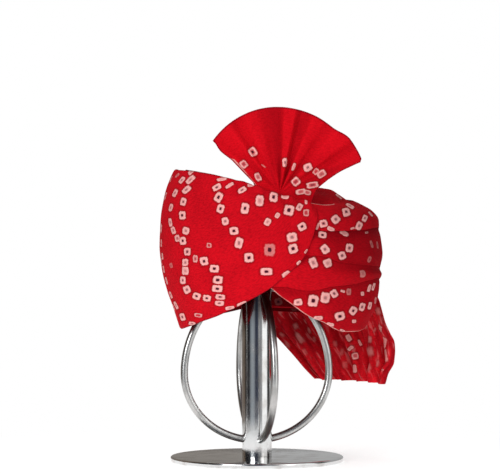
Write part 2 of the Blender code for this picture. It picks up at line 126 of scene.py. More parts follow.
UPPER_END_DROPS = (160.0, 200.0)
UPPER_END_DROP = 1.9
LEVEL_STEP = 0.05
ANGLE_STEP = 0.5
SMALLEST_RADIUS = 1e-6
SMALLEST_LENGTH = 1e-12
SHOULDER = 8
CENTRE = 12


class Level(NamedTuple):
    """Radius and height in mm of the turban's outer form, on its four sides."""

    left_r: float
    left_z: float
    front_r: float
    front_z: float
    right_r: float
    right_z: float
    back_r: float
    back_z: float


FORM = listed(
    Level,
    (95.4, 141, 108, 140, 101.0, 138.0, 110, 142),
    (102.5, 163, 114, 160, 108.0, 158.0, 117, 160),
    (109.5, 184, 120, 180, 113.5, 178.0, 122, 180),
    (114.5, 206, 124, 200, 117.5, 198.0, 125, 200),
    (117.0, 231, 126, 222, 118.3, 219.0, 126, 220),
    (116.3, 254, 125, 243, 118.2, 239.0, 125, 240),
    (113.5, 276, 122, 263, 115.0, 256.0, 121, 258),
    (108.0, 295, 116, 279, 107.0, 266.0, 113, 270),
    (98.6, 311.5, 107, 291, 96.5, 273.2, 102, 279),
    (88.0, 307, 93, 291, 84.0, 278.8, 86, 284),
    (64.0, 297, 64, 289, 62.5, 287.6, 62, 288),
    (32.0, 290, 32, 289, 31.0, 289.0, 31, 289),
    (0.0, 289, 0, 289, 0.0, 289.0, 0, 289),
)


class Front(NamedTuple):
    """Edge of a wrap where it crosses the front: mm right of the axis, and height."""

    across: float
    height: float


class Seen(NamedTuple):
    """A point of an edge in the photograph: pixels from its left and its top."""

    across: float
    down: float


class Turn(NamedTuple):
    """Edge of a wrap at an angle round the head, positive to the viewer's left."""

    angle: float
    height: float


# Edges of the wraps: pixels of the photograph where they show, real sizes where they don't
LEFT_HEM = (
    Front(50, 264),
    *listed(
        Seen,
        (317, 223), (314, 235), (308, 250), (300.5, 263), (287, 275), (269.5, 289.5), (254, 298.4),
        (241, 305), (228, 311.3), (216, 316.8), (204, 321), (192, 325.5), (183, 328.6),
    ),
    *listed(Turn, (75, 142), (90, 141), (115, 143), (145, 148), (170, 156), (187.5, 166)),
)
LEFT_TOP = (
    Front(50, 270),
    *listed(
        Seen,
        (313.5, 203), (308, 199.5), (300, 197), (290, 194), (279, 192.5), (268, 189.5),
        (260, 185.5), (252, 182.3), (236, 178.6), (224, 175.6), (212, 173), (200, 170),
        (188, 168.8),
    ),
    *listed(Turn, (90, 311.4), (110, 304), (132, 286), (155, 268), (187.5, 258)),
)
UPPER_HEM = (
    Turn(-7.5, 252),
    *listed(
        Seen,
        (308, 228), (316, 229), (331, 230.7), (345, 230.3), (366, 229.3), (376, 227.5), (380, 226),
    ),
    *listed(Turn, (-95, 248), (-120, 241), (-150, 235), (-180, 232), (-217.5, 234)),
)
MIDDLE_HEM = (
    Turn(-7.5, 223.7),
    *listed(
        Seen,
        (300, 255.5), (318, 256), (331, 257.8), (338, 261.5), (350, 263.5), (365, 265), (376, 266),
        (380.5, 266),
    ),
    *listed(Turn, (-90, 206.5), (-120, 200), (-150, 195), (-180, 193), (-210, 195)),
)
LOW_HEM = (
    Turn(7.5, 190.5),
    *listed(
        Seen,
        (285, 288), (300, 291), (313, 292), (322, 290.5), (333, 287.7), (350, 286), (360, 284),
        (368, 281), (377, 279),
    ),
    *listed(Turn, (-90, 192.5), (-120, 183), (-150, 176), (-180, 174), (-202.5, 176)),
)
RIGHT_HEM = (
    Turn(7.5, 193),
    *listed(
        Seen,
        (268, 288.5), (272, 290.7), (279.3, 296.4), (289.3, 303.6), (306.4, 315.7), (313.6, 319.3),
        (325, 323.6), (336.4, 330), (345, 332.9), (357.9, 331.8), (365, 328.5),
    ),
    *listed(Turn, (-84, 147.5), (-100, 150.5), (-140, 150), (-170, 151), (-195, 153)),
)
BAND_TOP = listed(
    Turn,
    (-180, 236), (-135, 232), (-90, 228), (-45, 236), (0, 246), (45, 256), (90, 262), (110, 260),
    (132, 252), (155, 244), (180, 236),
)
BAND_GAP = 0.9

# Fan: mm from its gather, angles in degrees from +X, seen from the front
FAN_GATHER_ACROSS = 9.5
FAN_GATHER_HEIGHT = 287.0
FAN_HELD_HEIGHT = 284.0
FAN_HELD_ABOVE = 1.0
FAN_LAYERS = 2.0
FAN_SIDE_LIMIT = 60.0
FAN_FREE_RISE = 30.0
FAN_PLANE = -99.0
FAN_INSET = 8.2
FAN_LEAN_HEIGHT = 300.0
FAN_LEAN = 0.10
FAN_LEFT_BULGE = 2.7
FAN_RIGHT_HOLLOW = 3.0
FAN_PLEAT_SHARE = 0.8
# Share of the pleats' painted shade that is kept
FAN_SHADE_SHARE = 0.72
FAN_CREASES = 17.0


class FanRow(NamedTuple):
    """One radius of the fan: its tucked neck, and the mouth of the gather."""

    share: float
    neck_x: float
    neck_z: float
    mouth_x: float
    mouth_z: float


FAN_ROWS = listed(
    FanRow,
    (0.00, -12, 281, -16.0, 296.5),
    (0.15, -5, 277, -9.0, 292.0),
    (0.35, 3, 273, 1.5, 288.5),
    (0.50, 9, 270, 9.0, 286.5),
    (0.65, 16, 269, 17.0, 286.0),
    (0.75, 22, 268, 25.0, 286.0),
    (0.86, 29, 267, 34.0, 286.8),
    (0.94, 34, 266, 42.0, 288.5),
    (0.98, 37, 266, 46.0, 290.0),
    (1.00, 38, 266, 47.5, 291.0),
)


class RimSpot(NamedTuple):
    """A point of the fan's rim: its share of the way round, and where it shows."""

    share: float
    seen: Seen


FAN_RIM = (
    RimSpot(0.00, Seen(213.5, 140.5)), RimSpot(0.15, Seen(230, 123.5)),
    RimSpot(0.35, Seen(259, 109.5)), RimSpot(0.50, Seen(285.5, 107.8)),
    RimSpot(0.65, Seen(314.5, 116)), RimSpot(0.75, Seen(332, 127.5)),
    RimSpot(0.86, Seen(350, 139.5)), RimSpot(0.94, Seen(358, 152.5)),
    RimSpot(0.98, Seen(360.8, 158.5)), RimSpot(1.00, Seen(360, 162)),
)
# Y in mm of the plane on which the rim's pixels are placed
FAN_SEEN_PLANE = -97.0


class Pleat(NamedTuple):
    """A ridge or a valley of the fan: degrees of its radius at the rim, lift in mm, painted shade."""

    rim_angle: float
    lift: float
    shade: float


PLEATS = listed(
    Pleat,
    (142.0, 1.0, 0.00), (136.0, -2.6, 0.10), (127.0, 3.2, 0.00), (121.0, -2.8, 0.22),
    (113.0, 3.6, 0.00), (107.0, 1.6, 0.05), (100.0, -3.2, 0.42), (95.0, -4.0, 0.62),
    (90.0, -4.0, 0.66), (86.0, 3.6, 0.05), (79.5, 3.8, 0.00), (74.5, -3.8, 0.50),
    (69.5, -3.4, 0.44), (65.5, 3.8, 0.00), (59.0, 1.0, 0.05), (54.0, -2.6, 0.30),
    (46.0, 3.4, 0.00), (38.0, 1.2, 0.02), (33.0, -3.4, 0.34), (27.0, 3.4, 0.00), (19.5, 0.6, 0.05),
)

# Tail: how it bows out, folds and leaves the wraps, in mm
TAIL_TUCK = 8.0
TAIL_FREE_DROP = 22.0
TAIL_FREE_START = 1.0
TAIL_ANGLES = (-190.0, -97.0)
TAIL_DEPTH = 1.0
TAIL_FOLDS = 5
TAIL_BOW = 16.0
TAIL_BOW_TOP = 31.0
TAIL_BOW_HEIGHTS = (105.0, 155.0)
TAIL_CREASES = 15.0
TAIL_CREASE_RISE = 42.0


class TailRow(NamedTuple):
    """Y in mm of the tail's two edges at one height, and the depth of its folds."""

    height: float
    left_y: float
    right_y: float
    fold: float


TAIL_ROWS = listed(
    TailRow,
    (80, 108, 36, 8.0), (90, 110, 36, 7.6), (104, 113, 36, 7.0), (124, 117, 34, 6.0),
    (136, 120, 30, 4.6), (149, 123, 26, 2.2), (163, 124, 24, 0.8), (178, 124, 22, 0.0),
)

# The tail's edges from the top down, carried on behind the wraps and below the picture
TAIL_LEFT = listed(
    Seen,
    (246.5, 288), (249, 302), (256.5, 315), (278.5, 339.5), (290, 351), (300, 363), (312, 376.5),
    (321, 386),
)
TAIL_RIGHT = listed(
    Seen,
    (377.5, 293), (378, 300), (382, 310), (384.5, 320), (389, 330), (393.5, 340), (396, 350),
    (395, 360), (390, 370), (386.5, 376.5), (384, 386),
)

# Crown: the shallow folds towards its centre, by level and in mm
CROWN_FOLDS = 8
CROWN_FOLD_DEPTH = 2.2
CROWN_FOLD_TWIST = 0.35
CROWN_FOLDS_BEGIN = (9.0, 10.2)
CROWN_FOLDS_END = (10.4, 11.4)
CROWN_RISES = (7.2, 8.4)
CROWN_MEETS_FORM = (8.8, 10.0)
CROWN_HEM_RISE = 4.0
CROWN_LAST_LEVEL = 11.97
CROWN_BEHIND_TOP = 3.4


class Dot(NamedTuple):
    """A tied dot, by where it shows from the front: pixels, size across, form and tone; a low pale is
    partly painted shade.
    """

    across: float
    down: float
    size: float = 9.5
    tall: float = 1.0
    turn: float = 0.0
    pale: float = 1.0
    core: float = 1.0
    hollow: float = 0.0


LEFT_DOTS = listed(
    Dot,
    (191, 171.7, 8, 0.42, 20, 0.95, 0.1), (177.2, 175.3, 6.5, 0.4, 40, 0.45, 0.0),
    (190.2, 179.7, 12, 0.48, 43, 1.0, 0.5), (181.8, 180, 8.8, 0.55, 52, 0.95, 0.5),
    (186.3, 189.7, 11, 0.56, 40, 1.0, 0.6), (174.8, 193, 4.8, 1.9, -25, 0.9, 0.2),
    (183.2, 201.7, 6.8, 1.35, -15, 1.0, 0.8), (170.7, 207.5, 4.5, 2.0, -15, 0.85, 0.15),
    (182.2, 215.3, 7.5, 1.27, 5, 1.0, 1.1), (170.2, 222.5, 4.2, 2.3, 10, 0.9, 0.1),
    (173.2, 230.3, 5, 1.75, 20, 0.9, 0.4), (177.2, 238.3, 6, 1.3, 15, 0.9, 0.5, 0.5),
    (185.7, 230.8, 8, 1.05, -10, 0.95, 0.5), (182.7, 240.8, 7.5, 1.2, 8),
    (187.2, 251.7, 7.5, 1.15, 0, 0.95, 0.9, 0.4), (195.2, 258.8, 5.5, 1.5, 0, 0.75, 0.5, 0.6),
    (204, 261.2, 9, 1.08, 12), (185.2, 262.5, 7, 1.2, 0, 1.0, 0.6),
    (185.2, 270.8, 7.5, 1.25, 0, 0.95, 0.3), (182.7, 280.3, 6.5, 1.35, 0, 1.0, 0.8),
    (186.8, 289.7, 8, 1.1, 25, 1.0, 0.7), (196.5, 296.2, 9, 0.85, -15), (206.8, 298.3, 9, 0.8, -8),
    (214.3, 268.7, 10.5, 0.82, -5, 1.0, 1.3), (217.7, 280, 11, 0.82, -5, 1.0, 1.6),
    (217.2, 288.7, 12, 0.66, -5, 1.0, 1.4), (220.2, 297, 11, 0.55, -3, 0.95, 0.9, 0.3),
    (219.3, 303.3, 10, 0.58, 0, 0.95, 0.7), (229.8, 308, 10, 0.4, 8, 0.95, 0.4),
    (242, 304.2, 12, 0.3, 24, 0.95, 0.0), (198.2, 315.3, 9, 0.5, -8, 0.75, 0.0, 1.0),
    (191.8, 323.6, 8, 0.5, -5, 0.9, 0.2), (209, 245.3, 5.5, 1.0, 0, 0.6, 0.0, 1.0),
    (171, 265.5, 3.5, 1.7, 15, 0.3, 0.0), (161.3, 242, 3, 3.0, 0, 0.8, 0.1),
    (162.2, 255.8, 3.4, 2.3, 5, 0.9, 0.1), (163.5, 268.7, 3.6, 2.4, 10, 0.9, 0.1),
    (166.3, 281.7, 4.2, 2.1, 15, 0.9, 0.1), (170.5, 294.2, 5, 1.7, 25, 0.9, 0.2),
    (176, 305.8, 5, 1.9, 28, 0.95, 0.2), (182.3, 317, 6.5, 1.35, 22, 1.0, 0.8),
    (221.8, 179.2, 11.5, 0.32, 10, 0.95, 0.0), (216.8, 187.2, 10.5, 0.62, 30, 1.0, 0.9),
    (229.5, 185.3, 10.5, 0.36, 32, 0.95, 0.0), (242.1, 189.9, 10.5, 0.55, 30, 1.0, 0.8),
    (250.7, 185.3, 7.5, 0.4, 5, 0.9, 0.0), (218.5, 197.2, 8.5, 1.35, -28, 1.0, 1.2),
    (220.5, 208.7, 8, 1.25, -14), (225.2, 221.2, 7.8, 1.12, 10, 1.0, 0.6),
    (233.9, 230.9, 9.8, 0.92, 8, 1.0, 1.1), (239, 243, 8.6, 1.4, -14, 1.0, 0.6),
    (248.9, 257.7, 10.5, 1.0, 5, 1.0, 1.3), (266.4, 271.6, 13.5, 0.62, 0, 1.0, 1.1),
    (245, 208.3, 8.8, 1.38, -9, 1.0, 1.1), (259.7, 200.6, 9.2, 1.33, -5, 1.0, 0.3, 0.3),
    (273.6, 196.9, 9.2, 1.25, -8, 1.0, 1.5), (285, 196.6, 9, 0.5, 0, 0.95, 0.1),
    (289, 210.1, 11, 1.05, -12, 1.0, 1.7), (299.5, 207, 6.3, 1.3, -32, 1.0, 0.5),
    (306.1, 201.6, 3, 1.9, 0, 0.9, 0.0), (306.1, 212.7, 6.5, 1.2, 0, 0.7, 0.2, 0.9),
    (277.4, 215.4, 5, 1.25, -30, 0.9, 0.0), (267.6, 221.9, 7, 1.25, -30, 1.0, 0.4),
    (302.1, 226.6, 9.6, 0.9, 30, 1.0, 1.1), (292.1, 237.3, 11.5, 0.9, 10, 1.0, 0.6),
    (293.1, 248.7, 10.5, 1.0, 12, 1.0, 1.3), (269.6, 249.9, 12, 1.15, -3, 0.42, 1.5),
    (286.3, 274.4, 10, 0.38, 38, 0.95, 0.0), (299.2, 263.2, 6, 0.6, 45, 0.9, 0.0),
    (306.2, 251.4, 5.5, 0.5, 50, 0.7, 0.0),
)
UPPER_DOTS = listed(
    Dot,
    (323.5, 223.5, 9, 0.95, 15, 1.0, 0.9, 0.5), (317.8, 226.3, 2.6, 3.2, -20, 0.75, 0.0),
    (330.8, 229, 8.5, 0.55, -25, 0.95, 0.0), (335.8, 219.2, 9.4, 1.0, 42, 1.0, 0.7),
    (346.3, 211.7, 8.8, 1.12, 15, 1.0, 0.9), (350, 205.8, 10, 0.5, -32, 0.95, 0.2),
    (359.2, 225.8, 7, 1.4, -28, 1.0, 0.6), (365, 218, 5.8, 1.4, -25, 1.0, 0.7),
    (370.8, 214.2, 3.8, 1.9, 35, 0.9, 0.0), (352.5, 228.3, 5, 0.45, 15, 0.85, 0.0),
)
MIDDLE_DOTS = listed(
    Dot,
    (322.5, 235, 9.5, 0.78, -10), (344.2, 233.2, 10.5, 0.5, -30, 0.95, 0.2),
    (366.8, 232.5, 4, 0.6, 10, 0.8, 0.0), (325, 249.2, 9, 1.15, 32, 1.0, 0.7),
    (349.5, 248, 8.5, 1.15, -8, 0.95, 0.8, 0.4), (342.2, 255.6, 8.8, 1.05, 20, 0.95, 0.8),
    (371.7, 244.2, 3, 3.0, 18, 0.3, 0.0), (377.5, 245, 2.6, 3.2, 8, 0.3, 0.0),
    (369.5, 259.5, 4, 1.8, -20, 0.3, 0.0),
)
LOW_DOTS = listed(
    Dot,
    (313.3, 262.7, 8.6, 1.42, 22, 1.0, 0.5), (327.8, 263.2, 9.2, 1.05, 25, 1.0, 0.3),
    (363, 273.7, 6.6, 1.35, 8, 0.45, 0.2),
)
HEM_DOTS = listed(
    Dot,
    (298, 302.3, 9.8, 0.75, 5, 1.0, 0.6), (313.3, 300.8, 11.8, 1.12, -8, 1.0, 1.4),
    (325.5, 297.8, 10.6, 1.12, -10, 1.0, 0.5), (334.2, 293.6, 8, 1.15, 35, 1.0, 0.8),
    (342.8, 291.3, 5.5, 0.5, -18, 0.9, 0.0), (348.8, 291.8, 5.5, 1.4, 0, 0.35, 0.3),
    (362.5, 293.7, 4, 1.2, 0, 0.85, 0.0), (369.3, 288.2, 3.6, 2.5, -20, 0.95, 0.1),
    (373.6, 286.8, 3.4, 2.6, -18, 0.95, 0.1), (340, 316.3, 11.5, 0.85, 15, 1.0, 1.1),
    (353.3, 310.8, 8.5, 1.12, -32), (362.2, 307, 6.8, 1.4, -15, 1.0, 0.8),
    (370, 305.8, 4.4, 2.0, -12, 0.95, 0.5), (375.6, 300.5, 3, 2.6, -5, 0.6, 0.0),
    (318.3, 318, 10.5, 0.42, 0, 0.95, 0.2), (330.3, 324.6, 8.6, 0.48, -12, 0.95, 0.1),
    (342.5, 330.6, 6, 0.4, -20, 0.85, 0.0), (354.2, 321.3, 5, 0.8, 0, 0.9, 0.0),
)
CROWN_DOTS = listed(
    Dot,
    (339.2, 196.8, 9, 0.45, -40, 0.9, 0.0), (308, 194.3, 6, 0.6, -15, 0.7, 0.0, 0.6),
)
FAN_DOTS = listed(
    Dot,
    (252.8, 152, 9, 1.15, 32, 1.0, 1.0, 0.75), (243.8, 164.2, 8, 1.15, 38, 0.9, 0.5, 0.85),
    (258, 177, 6.5, 1.55, 25, 0.95, 0.4, 0.6), (285, 162.5, 6, 1.7, 3, 1.0, 0.7),
    (293.8, 166.9, 3.6, 2.4, -20, 0.9, 0.1), (307.8, 167.5, 9.6, 0.95, 25, 1.0, 0.7),
    (316, 171.5, 6, 1.3, -40, 0.75, 0.2, 0.9), (321.5, 174, 10.5, 0.75, 35, 0.9, 0.3, 0.7),
    (295.8, 181.7, 9.6, 0.95, 42, 1.0, 0.3, 0.9), (312.5, 185, 14, 0.5, 10, 1.0, 0.6, 0.85),
    (300.8, 191.7, 11, 0.55, 10, 1.0, 0.2, 0.8), (307.5, 192.5, 8, 0.7, -15, 0.85, 0.1, 0.8),
    (263.5, 166, 6.5, 0.25, -35, 0.45, 0.0),
)
TAIL_DOTS = listed(
    Dot,
    (349.3, 338.1, 6.6, 1.4, 28, 1.0, 0.1), (360, 342.9, 3.4, 2.6, 28, 0.95, 0.0),
    (351.1, 348.3, 7, 0.6, 38, 1.0, 0.0), (355.4, 356, 6.6, 1.15, 12, 1.0, 0.1, 0.8),
    (354.7, 368.6, 4, 2.4, 8, 0.9, 0.0), (370.7, 339.3, 4.5, 1.9, 0, 0.6, 0.0),
    (370, 351.4, 8, 1.3, 10, 0.5, 0.0), (368.6, 366.4, 6, 1.5, 12, 0.5, 0.0),
    (378, 363.6, 2.6, 3.0, -10, 0.45, 0.0), (375, 329.3, 3, 2.0, -20, 0.4, 0.0),
    (295.7, 326.4, 6, 1.2, 25, 0.45, 0.0), (299.3, 337.9, 5.6, 2.7, 35, 0.6, 0.0),
    (282, 335, 7, 0.6, -35, 0.4, 0.0), (290.7, 310.7, 3, 2.2, 25, 0.5, 0.0),
    (280.7, 312, 5, 1.0, 0, 0.3, 0.0), (309.3, 330.7, 4.5, 1.8, 20, 0.5, 0.0),
    (305.7, 321.4, 3, 2.4, 30, 0.4, 0.0), (314.3, 339.3, 4, 1.6, 10, 0.35, 0.0),
    (287, 345, 4, 2.2, 35, 0.35, 0.0), (305, 352, 4, 2.2, 30, 0.3, 0.0),
    (381, 328, 5.5, 3.2, -16, 0.75, 0.0), (385, 342, 6, 2.9, -10, 0.75, 0.0),
    (386.4, 356, 6, 2.8, 3, 0.75, 0.0), (383.2, 370, 5.5, 2.6, 14, 0.75, 0.0),
    (378.3, 310.8, 7.5, 1.2, 20, 0.55, 0.0), (342, 352, 4, 2.0, -5, 0.3, 0.0),
    (345, 365, 6, 1.4, 0, 0.3, 0.0), (335, 344, 5, 1.4, 10, 0.3, 0.0),
    (366, 325, 6, 1.4, 10, 0.35, 0.0), (384, 318, 3, 2.2, 0, 0.4, 0.0),
)


class Held(Enum):
    """How a sheet of cloth is held."""

    FOLDED = "folded"
    STRETCHED = "stretched"
    GATHERED = "gathered"
    HUNG = "hung"


def ramp(start: float, end: float, value: np.ndarray) -> np.ndarray:
    """Soft step from 0 at start to 1 at end."""
    share = np.clip((np.asarray(value, dtype=float) - start) / (end - start), 0.0, 1.0)
    return share * share * (3.0 - 2.0 * share)


def window(rise: tuple[float, float], fall: tuple[float, float], value: np.ndarray) -> np.ndarray:
    """Soft step up over one stretch, and down again over another."""
    return ramp(*rise, value) * (1.0 - ramp(*fall, value))


def unit(vectors: np.ndarray) -> np.ndarray:
    """The same vectors, each one metre long."""
    length = np.linalg.norm(vectors, axis=-1, keepdims=True)
    return vectors / np.maximum(length, SMALLEST_LENGTH)


class SmoothTable:
    """Curve through the rows of a table that never overshoots them."""

    def __init__(self, places: Sequence[float], values: Sequence[float]) -> None:
        """Work out the slope at each row.

        Args:
            places: rising positions of the rows.
            values: the value at each row.
        """
        self.places = np.asarray(places, dtype=float)
        self.values = np.asarray(values, dtype=float)
        slopes = np.diff(self.values) / np.diff(self.places)
        before = slopes[:-1]
        after = slopes[1:]
        same_way = before * after > 0.0
        total = np.where(same_way, before + after, 1.0)
        inner = np.where(same_way, 2.0 * before * after / total, 0.0)
        self.tangents = np.concatenate((slopes[:1], inner, slopes[-1:]))

    def __call__(self, at: np.ndarray) -> np.ndarray:
        """Read the curve.

        Args:
            at: positions, held to the table's range.

        Returns:
            The value at each position.
        """
        at = np.asarray(at, dtype=float)
        index = np.clip(np.searchsorted(self.places, at, side="right") - 1, 0, len(self.places) - 2)
        step = self.places[index + 1] - self.places[index]
        t = np.clip((at - self.places[index]) / step, 0.0, 1.0)
        blend = t * t * (3.0 - 2.0 * t)
        start_pull = t * (1.0 - t) ** 2 * step * self.tangents[index]
        end_pull = t * t * (t - 1.0) * step * self.tangents[index + 1]
        straight = self.values[index] * (1.0 - blend) + self.values[index + 1] * blend
        return straight + start_pull + end_pull


def read_rows(rows: Sequence[NamedTuple], key: str) -> dict[str, SmoothTable]:
    """A smooth curve for each named column of a table.

    Args:
        rows: the table.
        key: the column that holds the rising positions.

    Returns:
        The curve of each column, by its name.
    """
    places = [getattr(row, key) for row in rows]
    return {name: SmoothTable(places, [getattr(row, name) for row in rows]) for name in rows[0]._fields}


@dataclass(frozen=True)
class PhotoView:
    """The camera, and where a pixel of its picture lies in space."""

    aim: tuple[float, float, float] = (-0.0074, 0.0, 0.2385)
    centre: tuple[float, float] = (250.0, 237.0)
    elevation: float = 2.0
    distance: float = 4.0
    width_at_aim: float = 0.53
    picture_width: float = 500.0
    sensor: float = 36.0
    clip_end: float = 50.0

    @property
    def forward(self) -> np.ndarray:
        """Direction in which the camera looks."""
        tilt = math.radians(self.elevation)
        return np.array((0.0, math.cos(tilt), -math.sin(tilt)))

    @property
    def up(self) -> np.ndarray:
        """Upward direction in the picture."""
        tilt = math.radians(self.elevation)
        return np.array((0.0, math.sin(tilt), math.cos(tilt)))

    @property
    def eye(self) -> np.ndarray:
        """Place of the camera."""
        return np.array(self.aim) - self.forward * self.distance

    @property
    def focal(self) -> float:
        """Focal length in pixels."""
        return self.picture_width * self.distance / self.width_at_aim

    def project(self, points: np.ndarray) -> tuple[np.ndarray, np.ndarray]:
        """Pixels, across and down, at which points show."""
        relative = points - self.eye
        depth = relative @ self.forward
        across = self.centre[0] + self.focal * relative[..., 0] / depth
        down = self.centre[1] - self.focal * (relative @ self.up) / depth
        return across, down

    def ray(self, across: float, down: float) -> np.ndarray:
        """Direction from the camera through a pixel."""
        right = (across - self.centre[0]) / self.focal
        fall = (down - self.centre[1]) / self.focal
        return self.forward + np.array((right, 0.0, 0.0)) - self.up * fall

    def on_plane(self, spot: Seen, plane_y: float) -> tuple[float, float]:
        """Where a pixel lies on an upright plane across the view.

        Args:
            spot: the pixel.
            plane_y: the plane's place along Y, in mm.

        Returns:
            Mm to the right of the turban's axis, and height in mm.
        """
        ray = self.ray(spot.across, spot.down)
        place = self.eye + ray * (plane_y * MM - self.eye[1]) / ray[1]
        return place[0] / MM - TURBAN_AXIS_X, place[2] / MM

    def place_camera(self) -> None:
        """Set the scene's camera."""
        lens = bpy.data.cameras.new("camera")
        lens.sensor_width = self.sensor
        lens.lens = self.sensor * self.distance / self.width_at_aim
        lens.clip_end = self.clip_end
        camera = bpy.data.objects.new("camera", lens)
        bpy.context.scene.collection.objects.link(camera)
        camera.location = self.eye
        camera.rotation_euler = (math.radians(90.0 - self.elevation), 0.0, 0.0)
        bpy.context.scene.camera = camera


class TurbanForm:
    """Outer form of the turban: a point for each angle round the head and level."""

    def __init__(self, levels: Sequence[Level], view: PhotoView) -> None:
        """Keep a curve for each column of the table of levels, and the camera."""
        self.view = view
        steps = range(len(levels))
        self.read = {
            name: SmoothTable(steps, [getattr(level, name) for level in levels])
            for name in Level._fields
        }

    def point(self, angle: np.ndarray, level: np.ndarray) -> np.ndarray:
        """Points of the form.

        Args:
            angle: degrees round the head from the front, positive to the viewer's left.
            level: from 0 at the rim to CENTRE at the crown's centre.

        Returns:
            Places in metres, one row of three numbers for each angle.
        """
        angle, level = np.broadcast_arrays(np.asarray(angle, float), np.asarray(level, float))
        sideways = -np.sin(np.radians(angle))
        forward = np.cos(np.radians(angle))
        to_left = sideways < 0.0
        to_front = forward > 0.0
        read = self.read
        side_r = np.where(to_left, read["left_r"](level), read["right_r"](level))
        face_r = np.where(to_front, read["front_r"](level), read["back_r"](level))
        side_z = np.where(to_left, read["left_z"](level), read["right_z"](level))
        face_z = np.where(to_front, read["front_z"](level), read["back_z"](level))
        side_r = np.maximum(side_r, SMALLEST_RADIUS)
        face_r = np.maximum(face_r, SMALLEST_RADIUS)
        power = (np.abs(sideways) / side_r) ** ROUNDNESS + (np.abs(forward) / face_r) ** ROUNDNESS
        radius = power ** (-1.0 / ROUNDNESS)
        to_side = 1.0 - (1.0 - np.abs(sideways)) ** 2
        height = face_z + (side_z - face_z) * to_side
        place = (TURBAN_AXIS_X + radius * sideways, -radius * forward, height)
        return np.stack(place, axis=-1) * MM

    def normal(self, angle: np.ndarray, level: np.ndarray) -> np.ndarray:
        """Outward direction of the form at each angle and level."""
        angle, level = np.broadcast_arrays(np.asarray(angle, float), np.asarray(level, float))
        above = self.point(angle, np.minimum(level + LEVEL_STEP, CENTRE))
        below = self.point(angle, np.maximum(level - LEVEL_STEP, 0.0))
        around = self.point(angle + ANGLE_STEP, level) - self.point(angle - ANGLE_STEP, level)
        outward = unit(np.cross(above - below, around))
        outward[level > CENTRE - LEVEL_STEP] = (0.0, 0.0, 1.0)
        return outward

    def skin(self, angle: np.ndarray, level: np.ndarray, depth: np.ndarray) -> np.ndarray:
        """Points that lie depth mm below the form."""
        depth = np.asarray(depth, dtype=float)[..., None] * MM
        return self.point(angle, level) - self.normal(angle, level) * depth

    def level_at(self, angle: np.ndarray, height: np.ndarray) -> np.ndarray:
        """Level below the shoulder at which the form reaches a height in mm."""
        angle, height = np.broadcast_arrays(np.asarray(angle, float), np.asarray(height, float))
        low = np.zeros(angle.shape)
        high = np.full(angle.shape, float(SHOULDER))
        for _ in range(SEARCH_STEPS):
            middle = (low + high) / 2.0
            under = self.point(angle, middle)[..., 2] < height * MM
            low = np.where(under, middle, low)
            high = np.where(under, high, middle)
        return (low + high) / 2.0

    def angle_at(self, across: np.ndarray, height: np.ndarray) -> np.ndarray:
        """Angle at which the front lies across mm to the right of the axis."""
        across, height = np.broadcast_arrays(np.asarray(across, float), np.asarray(height, float))
        low = np.full(across.shape, -FRONT_LIMIT)
        high = np.full(across.shape, FRONT_LIMIT)
        for _ in range(SEARCH_STEPS):
            middle = (low + high) / 2.0
            place = self.point(middle, self.level_at(middle, height))
            beyond = place[..., 0] / MM - TURBAN_AXIS_X > across
            low = np.where(beyond, middle, low)
            high = np.where(beyond, high, middle)
        return (low + high) / 2.0

    def seen_at(self, spot: Seen) -> tuple[float, float]:
        """Place on the side of the form that shows nearest to a pixel, by a narrowing search.

        Args:
            spot: the pixel.

        Returns:
            Angle round the head in degrees, and height in mm.
        """
        angle, level = 0.0, SHOULDER / 2.0
        window = np.array((SEEN_ANGLE, SHOULDER / 2.0))
        for _ in range(SEEN_ROUNDS):
            steps = np.linspace(-1.0, 1.0, SEEN_STEPS)
            angles = np.clip(angle + window[0] * steps, -SEEN_ANGLE, SEEN_ANGLE)[:, None]
            levels = np.clip(level + window[1] * steps, 0.0, SHOULDER)[None, :]
            across, down = self.view.project(self.point(angles, levels))
            miss = (across - spot.across) ** 2 + (down - spot.down) ** 2
            best = np.unravel_index(np.argmin(miss), miss.shape)
            angle, level = float(angles[best[0], 0]), float(levels[0, best[1]])
            window = window * SEEN_NARROWS
        return angle, float(self.point(angle, level)[..., 2]) / MM

    def edge(self, rows: Sequence[Front | Seen | Turn]) -> SmoothTable:
        """Height of a wrap's edge in mm as a function of the angle round the head."""
        knots = []
        for row in rows:
            if isinstance(row, Seen):
                knots.append(self.seen_at(row))
                continue
            turned = isinstance(row, Turn)
            angle = row.angle if turned else float(self.angle_at(row.across, row.height))
            knots.append((float(angle), float(row.height)))
        knots.sort()
        return SmoothTable([angle for angle, _ in knots], [height for _, height in knots])


# Numbers of the Mix node's sockets for colours
MIX_SHARE = 0
MIX_FIRST = 6
MIX_SECOND = 7
MIX_COLOUR = 2


